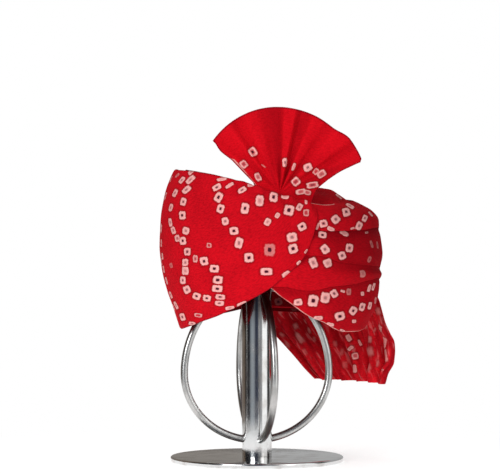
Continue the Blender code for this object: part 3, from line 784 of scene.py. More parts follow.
class Graph:
    """Adds nodes to a node tree and joins them."""

    def __init__(self, tree: bpy.types.NodeTree) -> None:
        """Keep the tree that the nodes go to."""
        self.tree = tree

    def add(self, kind: str, inputs: dict | None = None, **settings: object) -> bpy.types.Node:
        """Add one node.

        Args:
            kind: the node's type.
            inputs: a value or a socket for each input, by its name or number.
            settings: the node's own properties.

        Returns:
            The node.
        """
        node = self.tree.nodes.new(kind)
        for name, value in settings.items():
            setattr(node, name, value)
        self.feed_all(node.inputs, inputs or {})
        return node

    def feed(self, target: Socket, value: object) -> None:
        """Join a socket to an input, or set the input's value."""
        if isinstance(value, Socket):
            self.tree.links.new(value, target)
        else:
            target.default_value = value

    def feed_all(self, targets: Sockets, values: dict) -> None:
        """Feed several inputs, by name or number."""
        for name, value in values.items():
            self.feed(targets[name], value)

    def math(self, operation: str, *values: object, clamp: bool = False) -> Socket:
        """Result of one Math node."""
        node = self.add("ShaderNodeMath", dict(enumerate(values)), operation=operation, use_clamp=clamp)
        return node.outputs[0]

    def times(self, first: object, second: object, clamp: bool = False) -> Socket:
        """Product of two values."""
        return self.math("MULTIPLY", first, second, clamp=clamp)

    def line(self, value: object, slope: object, start: object, clamp: bool = False) -> Socket:
        """A value times a slope, added to a start."""
        return self.math("MULTIPLY_ADD", value, slope, start, clamp=clamp)

    def fade(self, value: object, start: float, end: float) -> Socket:
        """Soft step from 1 at start to 0 at end."""
        return self.math("SUBTRACT", 1.0, self.step(value, start, end))

    def step(self, value: object, start: float, end: float) -> Socket:
        """Soft step from 0 at start to 1 at end."""
        node = self.add(
            "ShaderNodeMapRange", {"Value": value, "From Min": start, "From Max": end},
            interpolation_type="SMOOTHSTEP", clamp=True)
        return node.outputs["Result"]

    def mix(self, share: object, first: object, second: object) -> Socket:
        """Colour between two others."""
        node = self.add("ShaderNodeMix", data_type="RGBA")
        self.feed_all(node.inputs, {MIX_SHARE: share, MIX_FIRST: first, MIX_SECOND: second})
        return node.outputs[MIX_COLOUR]

    def noise(self, where: object, scale: float, detail: float = 2.0) -> Socket:
        """Value of a Noise texture."""
        node = self.add("ShaderNodeTexNoise", {"Vector": where, "Scale": scale, "Detail": detail})
        return node.outputs[0]

    def parts(self, vector: object) -> Sockets:
        """The three numbers of a vector."""
        return self.add("ShaderNodeSeparateXYZ", {0: vector}).outputs

    def bump(self, strength: float, distance: float, height: object) -> Socket:
        """Normal of a surface with small heights in metres."""
        node = self.add("ShaderNodeBump", {"Strength": strength, "Distance": distance, "Height": height})
        return node.outputs[0]


def new_group(name: str, inputs: dict[str, str], outputs: dict[str, str]) -> tuple[Graph, dict, dict]:
    """Start a shader node group.

    Args:
        name: the group's name.
        inputs: the socket type of each input.
        outputs: the socket type of each output.

    Returns:
        The graph inside, its input sockets and its output sockets, by name.
    """
    tree = bpy.data.node_groups.new(name, "ShaderNodeTree")
    for label, kind in inputs.items():
        tree.interface.new_socket(label, in_out="INPUT", socket_type=kind)
    for label, kind in outputs.items():
        tree.interface.new_socket(label, in_out="OUTPUT", socket_type=kind)
    graph = Graph(tree)
    source = graph.add("NodeGroupInput")
    target = graph.add("NodeGroupOutput")
    return graph, source.outputs, target.inputs


def new_material(name: str) -> tuple[bpy.types.Material, Graph, bpy.types.Node]:
    """Start a material.

    Args:
        name: the material's name.

    Returns:
        The material, its graph and its Principled shader.
    """
    material = bpy.data.materials.new(name)
    material.use_nodes = True
    return material, Graph(material.node_tree), material.node_tree.nodes["Principled BSDF"]


FLOAT = "NodeSocketFloat"
WHOLE = "NodeSocketInt"
VECTOR = "NodeSocketVector"
GEOMETRY = "NodeSocketGeometry"
MATERIAL = "NodeSocketMaterial"


class DotStamp:
    """Shader group that draws one tied dot round the origin of its offset."""

    SQUARENESS = 3.8
    WOBBLE_SCALE = 420.0
    WOBBLE = 0.34
    CORE_WOBBLE = 0.20
    FRAY_SCALE = 1300.0
    FRAY = 0.14
    # Where each part of the dot ends, in dot radii
    PALE = (0.78, 1.02)
    CORE = (0.18, 0.42)
    INNER = (0.42, 0.66)
    HALO = (0.95, 1.45)
    BLUR = (0.10, 1.30)
    DOME = (0.0, 1.25)
    CORE_DIMPLE = 0.5

    def __init__(self) -> None:
        """Build the group."""
        graph, given, gives = new_group(
            "tied_dot", {"Offset": VECTOR, "Place": VECTOR},
            dict.fromkeys(("Pale", "Core", "Halo", "Inner", "Blur", "Rise"), FLOAT))
        parts = graph.parts(given["Offset"])
        wide, high = (
            graph.math("POWER", graph.math("ABSOLUTE", parts[axis]), self.SQUARENESS) for axis in (0, 1))
        reach = graph.math("POWER", graph.math("ADD", wide, high), 1.0 / self.SQUARENESS)
        wobble, fray = (
            graph.math("SUBTRACT", graph.noise(given["Place"], scale, 1.0), 0.5)
            for scale in (self.WOBBLE_SCALE, self.FRAY_SCALE))
        bent = graph.line(fray, self.FRAY, graph.line(wobble, self.WOBBLE, reach))
        core = graph.fade(graph.line(wobble, self.CORE_WOBBLE, reach), *self.CORE)
        dimple = graph.times(core, self.CORE_DIMPLE)
        graph.feed_all(gives, {
            "Pale": graph.fade(bent, *self.PALE), "Core": core,
            "Halo": graph.fade(bent, *self.HALO), "Inner": graph.fade(bent, *self.INNER),
            "Blur": graph.fade(bent, *self.BLUR),
            "Rise": graph.math("SUBTRACT", graph.fade(reach, *self.DOME), dimple)})
        self.tree = graph.tree


class CottonWeave:
    """Shader group for thin cotton: threads, crinkle, and how the dye varies."""

    THREAD_SCALE = 340.0
    THREAD_BEND = 1.5
    THREAD_LIFT = 0.10
    CRINKLE_SCALE = 260.0
    CRINKLE_SQUEEZE = (1.0, 2.6, 1.0)
    CRINKLE_LIFT = 0.9
    SOFT_SCALE = 70.0
    SOFT_LIFT = 1.1
    MOTTLE_SCALE = 42.0

    def __init__(self) -> None:
        """Build the group."""
        graph, given, gives = new_group(
            "crinkled_cotton", {"Along": VECTOR, "Place": VECTOR},
            dict.fromkeys(("Height", "Mottle", "Speckle"), FLOAT))
        thread = {"Vector": given["Along"], "Scale": self.THREAD_SCALE,
                  "Distortion": self.THREAD_BEND, "Detail": 1.0}
        weave = graph.math("ADD", *(
            graph.add("ShaderNodeTexWave", thread, bands_direction=direction).outputs["Fac"]
            for direction in ("X", "Y")))
        stretch = graph.add(
            "ShaderNodeMapping", {"Vector": given["Along"], "Scale": self.CRINKLE_SQUEEZE})
        crinkle = graph.noise(stretch.outputs[0], self.CRINKLE_SCALE, 3.0)
        soft = graph.noise(given["Place"], self.SOFT_SCALE, 2.0)
        height = graph.line(weave, self.THREAD_LIFT, graph.times(crinkle, self.CRINKLE_LIFT))
        graph.feed_all(gives, {
            "Height": graph.line(soft, self.SOFT_LIFT, height), "Speckle": crinkle,
            "Mottle": graph.noise(given["Place"], self.MOTTLE_SCALE, 4.0)})
        self.tree = graph.tree


@dataclass(frozen=True)
class Colour:
    """A colour in linear red, green and blue."""

    red: float
    green: float
    blue: float

    @property
    def rgba(self) -> tuple[float, float, float, float]:
        """The colour with full alpha."""
        return (self.red, self.green, self.blue, 1.0)


class Streak(NamedTuple):
    """A kind of streak drawn along the tail: scale and detail of its noise, and its contrast."""

    scale: float
    detail: float
    start: float
    end: float


# Dark streaks are painted shade along the tail's fine folds; pale streaks are pale threads
SHADED_STREAK = Streak(150.0, 3.0, 0.42, 0.68)
PALE_THREAD = Streak(260.0, 2.0, 0.56, 0.70)


@dataclass(frozen=True)
class DyedCotton:
    """Thin red cotton with tied dots and a pale edge."""

    STREAK_TURN = math.radians(-24.0)
    STREAK_SQUEEZE = (1.0, 0.16, 1.0)
    # Where each effect starts and ends, and how much of it there is
    MOTTLE = (0.25, 0.70)
    MOTTLE_SHARE = 0.35
    SPECK = (0.34, 0.62)
    SPECK_SHARE = 0.55
    LEAST_BRIGHT = 0.10
    HALO_SHARE = 0.56
    EDGE_FADES_FROM = 0.6
    EDGE_BEGINS = (0.7, 1.3)
    DARK_LINE = (0.6, 1.5)
    DARK_LINE_SHARE = 0.6
    WEAR = 0.9
    WORN = (0.24, 0.56)
    FAINT = (0.5, 0.9)
    THREAD_SHARE = 0.35
    THREAD_LEAST = 0.80
    DOT_SHADE = (0.45, 1.1)
    ROUGHNESS_RANGE = 0.10
    SHEEN_ROUGHNESS = 0.5
    SHEEN_TINT = (0.9, 0.10, 0.14, 1.0)
    SPECULAR = 0.04
    DOT_RISE = 1.2
    BUMP_DISTANCE = 0.0011

    name: str
    bright: Colour = Colour(0.73, 0.0045, 0.0135)
    deep: Colour = Colour(0.43, 0.002, 0.008)
    # Colour that painted shade darkens the red towards; the dots' dark halos and the tail's dark streaks
    # use it too
    shade: Colour = Colour(0.13, 0.0, 0.003)
    pale: Colour = Colour(1.0, 0.51, 0.48)
    inner: Colour = Colour(0.72, 0.05, 0.07)
    core: Colour = Colour(0.07, 0.008, 0.02)
    # Pale colour of the selvedges, also used for a painted highlight along one ridge
    edging: Colour = Colour(0.95, 0.50, 0.46)
    # Colour of the painted shade along the hems and edges
    dark_line: Colour = Colour(0.20, 0.002, 0.01)
    edge_start: float = -1.0
    edge_width: float = 1.3
    edge_strength: float = 0.8
    roughness: float = 0.85
    sheen: float = 0.05
    bump: float = 0.4
    blur: bool = False
    streaks: float = 0.0

    def make(self, dots: DotStamp, weave: CottonWeave) -> bpy.types.Material:
        """Build the material.

        Args:
            dots: group that draws the dots.
            weave: group for the cloth.

        Returns:
            The material.
        """
        material, graph, shader = new_material(self.name)
        place = graph.add("ShaderNodeTexCoord").outputs["Object"]
        along, offset, look, kind, rim = (
            graph.add("ShaderNodeUVMap", uv_map=label).outputs[0]
            for label in ("cloth", "dots", "look", "kind", "rim"))
        shade = graph.add("ShaderNodeAttribute", attribute_name="shade").outputs["Fac"]
        cloth = graph.add(
            "ShaderNodeGroup", {"Along": along, "Place": place}, node_tree=weave.tree).outputs
        dot = graph.add(
            "ShaderNodeGroup", {"Offset": offset, "Place": place}, node_tree=dots.tree).outputs
        pale, heart = graph.parts(look)[:2]

        mottle = graph.step(cloth["Mottle"], *self.MOTTLE)
        speck = graph.step(cloth["Speckle"], *self.SPECK)
        even = graph.line(speck, self.SPECK_SHARE, self.LEAST_BRIGHT)
        even = graph.line(mottle, self.MOTTLE_SHARE, even)
        colour = graph.mix(even, self.deep.rgba, self.bright.rgba)
        # Painted shade: the shade that each point carries darkens the red
        colour = graph.mix(shade, colour, self.shade.rgba)
        if self.streaks:
            colour = self.streaked(graph, along, colour)
        halo = graph.times(dot["Halo"], graph.times(pale, self.HALO_SHARE))
        colour = graph.mix(halo, colour, self.shade.rgba)
        colour = self.edged(graph, cloth, graph.parts(rim), colour)

        ring = dot["Pale"]
        if self.blur:
            faint = graph.fade(pale, *self.FAINT)
            clear = graph.times(ring, graph.math("SUBTRACT", 1.0, faint))
            ring = graph.line(dot["Blur"], faint, clear)
        ring = graph.times(ring, pale)
        inner = graph.times(dot["Inner"], graph.parts(kind)[0])
        thread = graph.line(cloth["Speckle"], self.THREAD_SHARE, self.THREAD_LEAST, clamp=True)
        stamp = graph.mix(inner, self.pale.rgba, self.inner.rgba)
        # Painted shade also darkens the dots, where it is deep
        stamp = graph.mix(graph.step(shade, *self.DOT_SHADE), stamp, self.shade.rgba)
        colour = graph.mix(graph.times(ring, thread), colour, stamp)
        colour = graph.mix(graph.times(dot["Core"], heart, clamp=True), colour, self.core.rgba)

        least_rough = self.roughness - self.ROUGHNESS_RANGE / 2.0
        height = graph.line(graph.times(dot["Rise"], pale), self.DOT_RISE, cloth["Height"])
        graph.feed_all(shader.inputs, {
            "Base Color": colour, "Roughness": graph.line(speck, self.ROUGHNESS_RANGE, least_rough),
            "Sheen Weight": self.sheen, "Sheen Roughness": self.SHEEN_ROUGHNESS,
            "Sheen Tint": self.SHEEN_TINT, "Specular IOR Level": self.SPECULAR,
            "Normal": graph.bump(self.bump, self.BUMP_DISTANCE, height)})
        return material

    def streaked(self, graph: Graph, along: Socket, colour: Socket) -> Socket:
        """The colour with dark streaks of painted shade and pale threads drawn along the cloth."""
        drawn = graph.add("ShaderNodeMapping", {
            "Vector": along, "Rotation": (0.0, 0.0, self.STREAK_TURN), "Scale": self.STREAK_SQUEEZE})
        for kind, tint in ((SHADED_STREAK, self.shade), (PALE_THREAD, self.edging)):
            noise = graph.noise(drawn.outputs[0], kind.scale, kind.detail)
            streak = graph.step(noise, kind.start, kind.end)
            colour = graph.mix(graph.times(streak, self.streaks), colour, tint.rgba)
        return colour

    def edged(self, graph: Graph, cloth: Sockets, edge: Sockets, colour: Socket) -> Socket:
        """The colour with a dark line of painted shade and a worn pale edge, by the distances in mm from
        them; on one ridge the pale edge is a painted highlight.
        """
        pale_edge = graph.fade(edge[0], self.edge_width * self.EDGE_FADES_FROM, self.edge_width)
        if self.edge_start > 0.0:
            begun = graph.step(edge[0], *(self.edge_start * share for share in self.EDGE_BEGINS))
            pale_edge = graph.times(pale_edge, begun)
        # Painted shade: a dark line along the hems and the fan's edges
        dark_line = graph.times(graph.fade(edge[1], *self.DARK_LINE), self.DARK_LINE_SHARE)
        colour = graph.mix(dark_line, colour, self.dark_line.rgba)
        # The pale edge is broken up by noise, on the selvedges and on the painted highlight
        worn = graph.line(cloth["Speckle"], self.WEAR, self.edge_strength - self.WEAR / 2.0)
        worn = graph.times(worn, graph.step(cloth["Mottle"], *self.WORN))
        return graph.mix(graph.times(pale_edge, worn, clamp=True), colour, self.edging.rgba)


@dataclass(frozen=True)
class Chrome:
    """Bright plated steel, a little smudged, with painted shadow above a height in metres."""

    SMUDGE_SCALE = 55.0
    SMUDGE = (0.42, 0.68)
    SMUDGE_ROUGHNESS = 0.08
    GRAIN_SCALE = 900.0
    GRAIN_DISTANCE = 0.0004
    # Painted shadow under the turban: how its height wavers, where it starts and ends in metres, and how
    # dark it gets
    TARNISH_WAVER = 0.012
    TARNISH = (0.140, 0.176)
    TARNISH_SHARE = 0.75

    name: str = "stand_chrome"
    colour: Colour = Colour(0.74, 0.75, 0.75)
    smudged: Colour = Colour(0.60, 0.59, 0.58)
    # Colour of the painted shadow under the turban
    tarnish: Colour = Colour(0.10, 0.07, 0.06)
    roughness: float = 0.10
    grain: float = 0.04

    def make(self) -> bpy.types.Material:
        """Build the material."""
        material, graph, shader = new_material(self.name)
        place = graph.add("ShaderNodeTexCoord").outputs["Object"]
        smudge = graph.step(graph.noise(place, self.SMUDGE_SCALE, 4.0), *self.SMUDGE)
        # Painted shadow darkens the chrome above a height, under the turban
        height = graph.line(smudge, self.TARNISH_WAVER, graph.parts(place)[2])
        top_shadowed = graph.times(graph.step(height, *self.TARNISH), self.TARNISH_SHARE)
        colour = graph.mix(smudge, self.colour.rgba, self.smudged.rgba)
        grain = graph.noise(place, self.GRAIN_SCALE, 2.0)
        graph.feed_all(shader.inputs, {
            "Base Color": graph.mix(top_shadowed, colour, self.tarnish.rgba), "Metallic": 1.0,
            "Roughness": graph.line(smudge, self.SMUDGE_ROUGHNESS, self.roughness),
            "Normal": graph.bump(self.grain, self.GRAIN_DISTANCE, grain)})
        return material


class ShapeRule:
    """Geometry Nodes tree with named inputs, used on a piece and turned to plain mesh."""

    def __init__(self, name: str, inputs: dict[str, str]) -> None:
        """Start the tree.

        Args:
            name: the tree's name.
            inputs: the socket type of each input after the geometry.
        """
        self.tree = bpy.data.node_groups.new(name, "GeometryNodeTree")
        self.tree.interface.new_socket("Geometry", in_out="INPUT", socket_type=GEOMETRY)
        self.names = {}
        for label, kind in inputs.items():
            socket = self.tree.interface.new_socket(label, in_out="INPUT", socket_type=kind)
            self.names[label] = socket.identifier
        self.tree.interface.new_socket("Geometry", in_out="OUTPUT", socket_type=GEOMETRY)
        self.graph = Graph(self.tree)
        self.given = self.graph.add("NodeGroupInput").outputs
        self.gives = self.graph.add("NodeGroupOutput").inputs

    def end(self, geometry: Socket) -> None:
        """Close the tree: instances become mesh and take their material."""
        real = self.graph.add("GeometryNodeRealizeInstances", {0: geometry})
        dressed = self.graph.add(
            "GeometryNodeSetMaterial", {"Geometry": real.outputs[0], "Material": self.given["Material"]})
        self.graph.feed(self.gives["Geometry"], dressed.outputs[0])

    def attribute(self, name: str) -> Socket:
        """A number that each point carries."""
        node = self.graph.add("GeometryNodeInputNamedAttribute", {"Name": name}, data_type="FLOAT")
        return node.outputs[0]

    def shift(self, offset: bpy.types.Node) -> None:
        """Move every point by an offset, and close the tree."""
        moved = self.graph.add("GeometryNodeSetPosition", {
            "Geometry": self.given["Geometry"], "Offset": offset.outputs[0]})
        self.end(moved.outputs[0])

    def use(self, piece: bpy.types.Object, **values: object) -> None:
        """Shape a piece and keep the result as its plain mesh.

        Args:
            piece: the object.
            values: a value for each named input.
        """
        modifier = piece.modifiers.new(self.tree.name, "NODES")
        modifier.node_group = self.tree
        for label, value in values.items():
            modifier[self.names[label.capitalize()]] = value
        bpy.context.view_layer.update()
        graph = bpy.context.evaluated_depsgraph_get()
        shaped = bpy.data.meshes.new_from_object(
            piece.evaluated_get(graph), preserve_all_data_layers=True, depsgraph=graph)
        plain = piece.data
        piece.modifiers.clear()
        piece.data = shaped
        bpy.data.meshes.remove(plain)
        shaped.name = piece.name


class RippleRule(ShapeRule):
    """Soft unevenness of worn cloth: a seeded noise moves each point along its normal."""

    def __init__(self) -> None:
        """Build the tree."""
        super().__init__("cloth_ripple", {
            "Amount": FLOAT, "Scale": FLOAT, "Seed": FLOAT, "Material": MATERIAL})
        graph = self.graph
        noise = graph.add("ShaderNodeTexNoise", noise_dimensions="4D")
        graph.feed_all(noise.inputs, {
            "Vector": graph.add("GeometryNodeInputPosition").outputs[0], "W": self.given["Seed"],
            "Scale": self.given["Scale"], "Detail": 2.0})
        swing = graph.math("SUBTRACT", noise.outputs[0], 0.5)
        lift = graph.times(graph.times(swing, self.given["Amount"]), self.attribute("loose"))
        outward = graph.add("GeometryNodeInputNormal").outputs[0]
        self.shift(graph.add("ShaderNodeVectorMath", {0: outward, "Scale": lift}, operation="SCALE"))


class PleatRule(ShapeRule):
    """Pleats: each point moves towards the viewer by its own lift times a depth."""

    def __init__(self) -> None:
        """Build the tree."""
        super().__init__("fan_pleats", {"Depth": FLOAT, "Material": MATERIAL})
        lift = self.graph.times(self.attribute("pleat"), self.given["Depth"])
        self.shift(self.graph.add("ShaderNodeCombineXYZ", {"Y": self.graph.times(lift, -1.0)}))


class ArmRule(ShapeRule):
    """Bent arms: a tube along one route, repeated round the post."""

    def __init__(self) -> None:
        """Build the tree."""
        super().__init__("stand_arms", {
            "Radius": FLOAT, "Count": WHOLE, "Sides": WHOLE, "Material": MATERIAL})
        graph = self.graph
        route = graph.add("GeometryNodeMeshToCurve", {"Mesh": self.given["Geometry"]})
        ring = graph.add(
            "GeometryNodeCurvePrimitiveCircle",
            {"Radius": self.given["Radius"], "Resolution": self.given["Sides"]}, mode="RADIUS")
        tube = graph.add("GeometryNodeCurveToMesh", {
            "Curve": route.outputs[0], "Profile Curve": ring.outputs[0], "Fill Caps": True})
        spots = graph.add("GeometryNodePoints", {"Count": self.given["Count"]})
        number = graph.add("GeometryNodeInputIndex").outputs[0]
        whole = graph.math("DIVIDE", 2.0 * math.pi, self.given["Count"])
        turn = graph.add("ShaderNodeCombineXYZ", {"Z": graph.times(number, whole)})
        arms = graph.add("GeometryNodeInstanceOnPoints", {
            "Points": spots.outputs[0], "Instance": tube.outputs[0], "Rotation": turn.outputs[0]})
        self.end(arms.outputs[0])


def new_object(name: str, mesh: bpy.types.Mesh) -> bpy.types.Object:
    """Put a mesh in the scene as a named piece."""
    piece = bpy.data.objects.new(name, mesh)
    bpy.context.scene.collection.objects.link(piece)
    return piece


# What stands for no dot, in dot radii, and for no edge, in mm
FAR = 9.0
NO_EDGE = 99.0

# Dots: how they are laid on the cloth, and how far one squeezed by the view is let out
DOT_SHARE = 0.92
LEAST_SQUEEZE = 0.34
DOT_REACH = 2.4
EDGE_ON = 0.55
EDGE_ON_CORE = 0.5
LEAST_HOLLOW = 0.22
PLEATED_DEPTH = 0.5
NEARER_LAYER = 40.0
TURNED_AWAY = 0.06
HIDDEN_PIXELS = 1000.0
LEAST_SLOPE = -0.22
LEVEL_CLOTH = 0.2

# Crossing lines of dots where the photograph shows none, in mm and degrees
LINE_PITCH = 46.0
LINE_STEP = 12.75
LINE_LEAN = 0.72
LINE_START = 5.0
LINE_MARGIN = 3.0
LINE_SIDE_MARGIN = 4.0
LINE_UNEVEN = 1.6
LINE_DOT_SIZE = (8.6, 10.6)
LINE_DOT_TURN = (-30.0, 45.0)
LINE_DOT_CLEAR = 13.0

# Thickened edges, in mm, and the painted shade on them and inside
LEAST_WALL = 0.35
EDGE_ROUND = 0.45
EDGE_SHADE = 0.15
EDGE_SHADE_SHARE = 0.5
DEEPEST_INSIDE = 0.9
DEEPEST_SHADE = 0.85


@dataclass
class ClothGrid:
    """Outer side of a cloth as columns of rows of points, with what its looks need."""

    points: np.ndarray
    ring: bool = False
    capped: bool = False
    # Painted shade of each point; inner_shade adds more of it inside
    shade: np.ndarray | None = None
    loose: np.ndarray | None = None
    pleat: np.ndarray | None = None
    pale_edge: np.ndarray | None = None
    dark_edge: np.ndarray | None = None
    thin: np.ndarray | None = None
    inner_shade: float = 0.65
    normals: np.ndarray = field(init=False)

    def __post_init__(self) -> None:
        """Fill in what was left out, and work out the normals."""
        size = self.points.shape[:2]
        for name, value in (("shade", 0.0), ("loose", 1.0), ("pleat", 0.0),
                            ("pale_edge", NO_EDGE), ("dark_edge", NO_EDGE), ("thin", 0.0)):
            if getattr(self, name) is None:
                setattr(self, name, np.full(size, value))
        self.refresh()

    def refresh(self) -> None:
        """Work out the normals again."""
        if self.ring:
            wide = np.concatenate((self.points[-1:], self.points, self.points[:1]), axis=0)
            along = (wide[2:] - wide[:-2]) / 2.0
        else:
            along = np.gradient(self.points, axis=0)
        upward = np.gradient(self.points, axis=1)
        self.normals = unit(np.cross(upward, along))

    def numbers(self) -> np.ndarray:
        """Number of each point."""
        size = self.points.shape[:2]
        return np.arange(size[0] * size[1]).reshape(size)

    def quads(self) -> np.ndarray:
        """Corners of each outer face as point numbers, for a plain single layer."""
        index = self.numbers()
        if self.ring:
            index = np.concatenate((index, index[:1]), axis=0)
        corners = (index[:-1, :-1], index[:-1, 1:], index[1:, 1:], index[1:, :-1])
        return np.stack(corners, axis=-1).reshape(-1, 4)

    def lengths(self) -> tuple[np.ndarray, np.ndarray]:
        """Distance of each point along its row and up its column, in metres."""
        steps = [np.linalg.norm(np.diff(self.points, axis=axis), axis=-1) for axis in (0, 1)]
        along, up = (
            np.insert(np.cumsum(step, axis=axis), 0, 0.0, axis=axis) for axis, step in enumerate(steps))
        return along, up

    def flat_size(self) -> tuple[float, float, float]:
        """Width, length and area of the cloth laid flat, in metres."""
        along, up = self.lengths()
        corners = self.points.reshape(-1, 3)[self.quads()]
        cross = np.cross(corners[:, 2] - corners[:, 0], corners[:, 3] - corners[:, 1])
        area = float(np.linalg.norm(cross, axis=-1).sum() / 2.0)
        width = float(up[:, -1].max())
        length = float(along[-1].max())
        if self.ring:
            length += float(np.linalg.norm(self.points[-1] - self.points[0], axis=-1).max())
        return width, length, area


class TiedDots:
    """Dots of one cloth: where each lies on it, how it is turned, and its tone."""

    def __init__(self, grid: ClothGrid, view: PhotoView) -> None:
        """Keep the cloth, and where its points show.

        Args:
            grid: the cloth.
            view: the camera that the chart was read from.
        """
        self.grid = grid
        self.view = view
        self.flat = grid.points.reshape(-1, 3)
        self.normals = grid.normals.reshape(-1, 3)
        self.pixels = np.stack(view.project(self.flat), axis=-1)
        self.away = (self.normals @ view.forward) > TURNED_AWAY
        self.places: list[np.ndarray] = []
        self.axes: list[np.ndarray] = []
        self.depth_weight = 1.0
        self.tones: list[tuple[float, ...]] = []

    def chart(self, rows: Sequence[Dot], pleated: bool = False) -> None:
        """Add the dots of a chart, each on the part of the cloth that shows there.

        Args:
            rows: the chart.
            pleated: the cloth shows both its sides, and a dot crosses its folds.
        """
        self.depth_weight = PLEATED_DEPTH if pleated else 1.0
        picture = np.stack((np.array((1.0, 0.0, 0.0)), self.view.up))
        hidden = HIDDEN_PIXELS * self.away
        if pleated:
            hidden = (self.flat - self.view.eye) @ self.view.forward * NEARER_LAYER
        for dot in rows:
            gap = np.linalg.norm(self.pixels - (dot.across, dot.down), axis=-1) + hidden
            nearest = int(np.argmin(gap))
            place = self.flat[nearest]
            normal = -self.view.forward if pleated else self.normals[nearest]
            ray = self.view.ray(dot.across, dot.down)
            slope = float(normal @ ray)
            if slope < LEAST_SLOPE:
                place = self.view.eye + ray * float(normal @ (place - self.view.eye)) / slope
            half = dot.size * self.view.width_at_aim / self.view.picture_width / 2.0
            tangents = np.stack(self.directions(normal))
            left, stretch, right = np.linalg.svd(picture @ tangents.T)
            seen = left @ np.diag(np.maximum(stretch, LEAST_SQUEEZE)) @ right
            if stretch.min() < EDGE_ON:
                dot = dot._replace(core=max(dot.core, EDGE_ON_CORE))
            self.keep(place, normal, half * DOT_SHARE, dot, seen @ tangents)

    def keep(self, place: np.ndarray, normal: np.ndarray, half: float, dot: Dot,
             axes: np.ndarray) -> None:
        """Remember one dot.

        Args:
            place: its centre.
            normal: outward direction there.
            half: half its width in metres.
            dot: its form and tone.
            axes: the two directions along the cloth in which its width and height count.
        """
        turn = math.radians(dot.turn)
        first = (axes[0] * math.cos(turn) + axes[1] * math.sin(turn)) / half
        second = (axes[1] * math.cos(turn) - axes[0] * math.sin(turn)) / (half * dot.tall)
        self.places.append(place)
        self.axes.append(np.stack((first, second, normal * self.depth_weight / half)))
        self.tones.append((dot.pale, dot.core, max(dot.hollow, LEAST_HOLLOW)))

    @staticmethod
    def directions(normal: np.ndarray) -> tuple[np.ndarray, np.ndarray]:
        """Directions to the right and up along the cloth, seen from outside."""
        right = np.cross((0.0, 0.0, 1.0), normal)
        if np.linalg.norm(right) < LEVEL_CLOTH:
            right = np.cross((0.0, 1.0, 0.0), normal)
        right = unit(right)
        return right, np.cross(normal, right)

    def lattice(self, keep_where: Callable[[np.ndarray], np.ndarray], seed: int) -> None:
        """Carry the dots on where the photograph doesn't show them, in crossing lines.

        Args:
            keep_where: tells for a point whether it may carry such a dot.
            seed: of the small unevenness.
        """
        along, up = self.grid.lengths()
        along_line = along[:, along.shape[1] // 2] / MM
        up_line = up.mean(axis=0) / MM
        length, width = along_line[-1], up_line[-1]
        steps = np.arange(LINE_START, width - LINE_MARGIN, LINE_STEP)
        spots = [
            (line + lean * step, step) for lean in (LINE_LEAN, -LINE_LEAN)
            for line in np.arange(-width, length + width, LINE_PITCH) for step in steps]
        random = np.random.default_rng(seed)
        charted = list(self.places)
        for where, height in spots:
            where += random.uniform(-LINE_UNEVEN, LINE_UNEVEN)
            height += random.uniform(-LINE_UNEVEN, LINE_UNEVEN)
            size = random.uniform(*LINE_DOT_SIZE)
            turn = random.uniform(*LINE_DOT_TURN)
            if not (LINE_SIDE_MARGIN < where < length - LINE_SIDE_MARGIN
                    and LINE_MARGIN < height < width - LINE_MARGIN):
                continue
            spot = int(np.searchsorted(along_line, where)), int(np.searchsorted(up_line, height))
            place = self.grid.points[spot]
            if not keep_where(place):
                continue
            gaps = [float(np.linalg.norm(other - place)) for other in charted]
            if gaps and min(gaps) < LINE_DOT_CLEAR * MM:
                continue
            charted.append(place)
            normal = self.grid.normals[spot]
            axes = np.stack(self.directions(normal))
            self.keep(place, normal, size * MM / 2.0 * DOT_SHARE, Dot(0, 0, turn=turn), axes)

    def offsets(self, quads: np.ndarray) -> tuple[np.ndarray, np.ndarray]:
        """Offset from the nearest dot, and its tone, at each corner of each face.

        Args:
            quads: the corners of the faces.

        Returns:
            For each corner, the offset in dot radii, and how pale, dark-hearted and hollow it is.
        """
        corners = self.flat[quads]
        offset = np.full((len(quads), 4, 2), FAR)
        tone = np.zeros((len(quads), 4, 3))
        if not self.places:
            return offset, tone
        centres = corners.mean(axis=1)
        best = np.full(len(quads), DOT_REACH)
        for place, axes, look in zip(self.places, self.axes, self.tones):
            reach = np.linalg.norm((centres - place) @ axes.T, axis=-1)
            nearer = reach < best
            best[nearer] = reach[nearer]
            spread = (corners[nearer] - place) @ axes.T
            flat = np.linalg.norm(spread[..., :2], axis=-1, keepdims=True)
            whole = np.linalg.norm(spread, axis=-1, keepdims=True)
            offset[nearer] = spread[..., :2] * whole / np.maximum(flat, SMALLEST_RADIUS)
            tone[nearer] = look
        return offset, tone


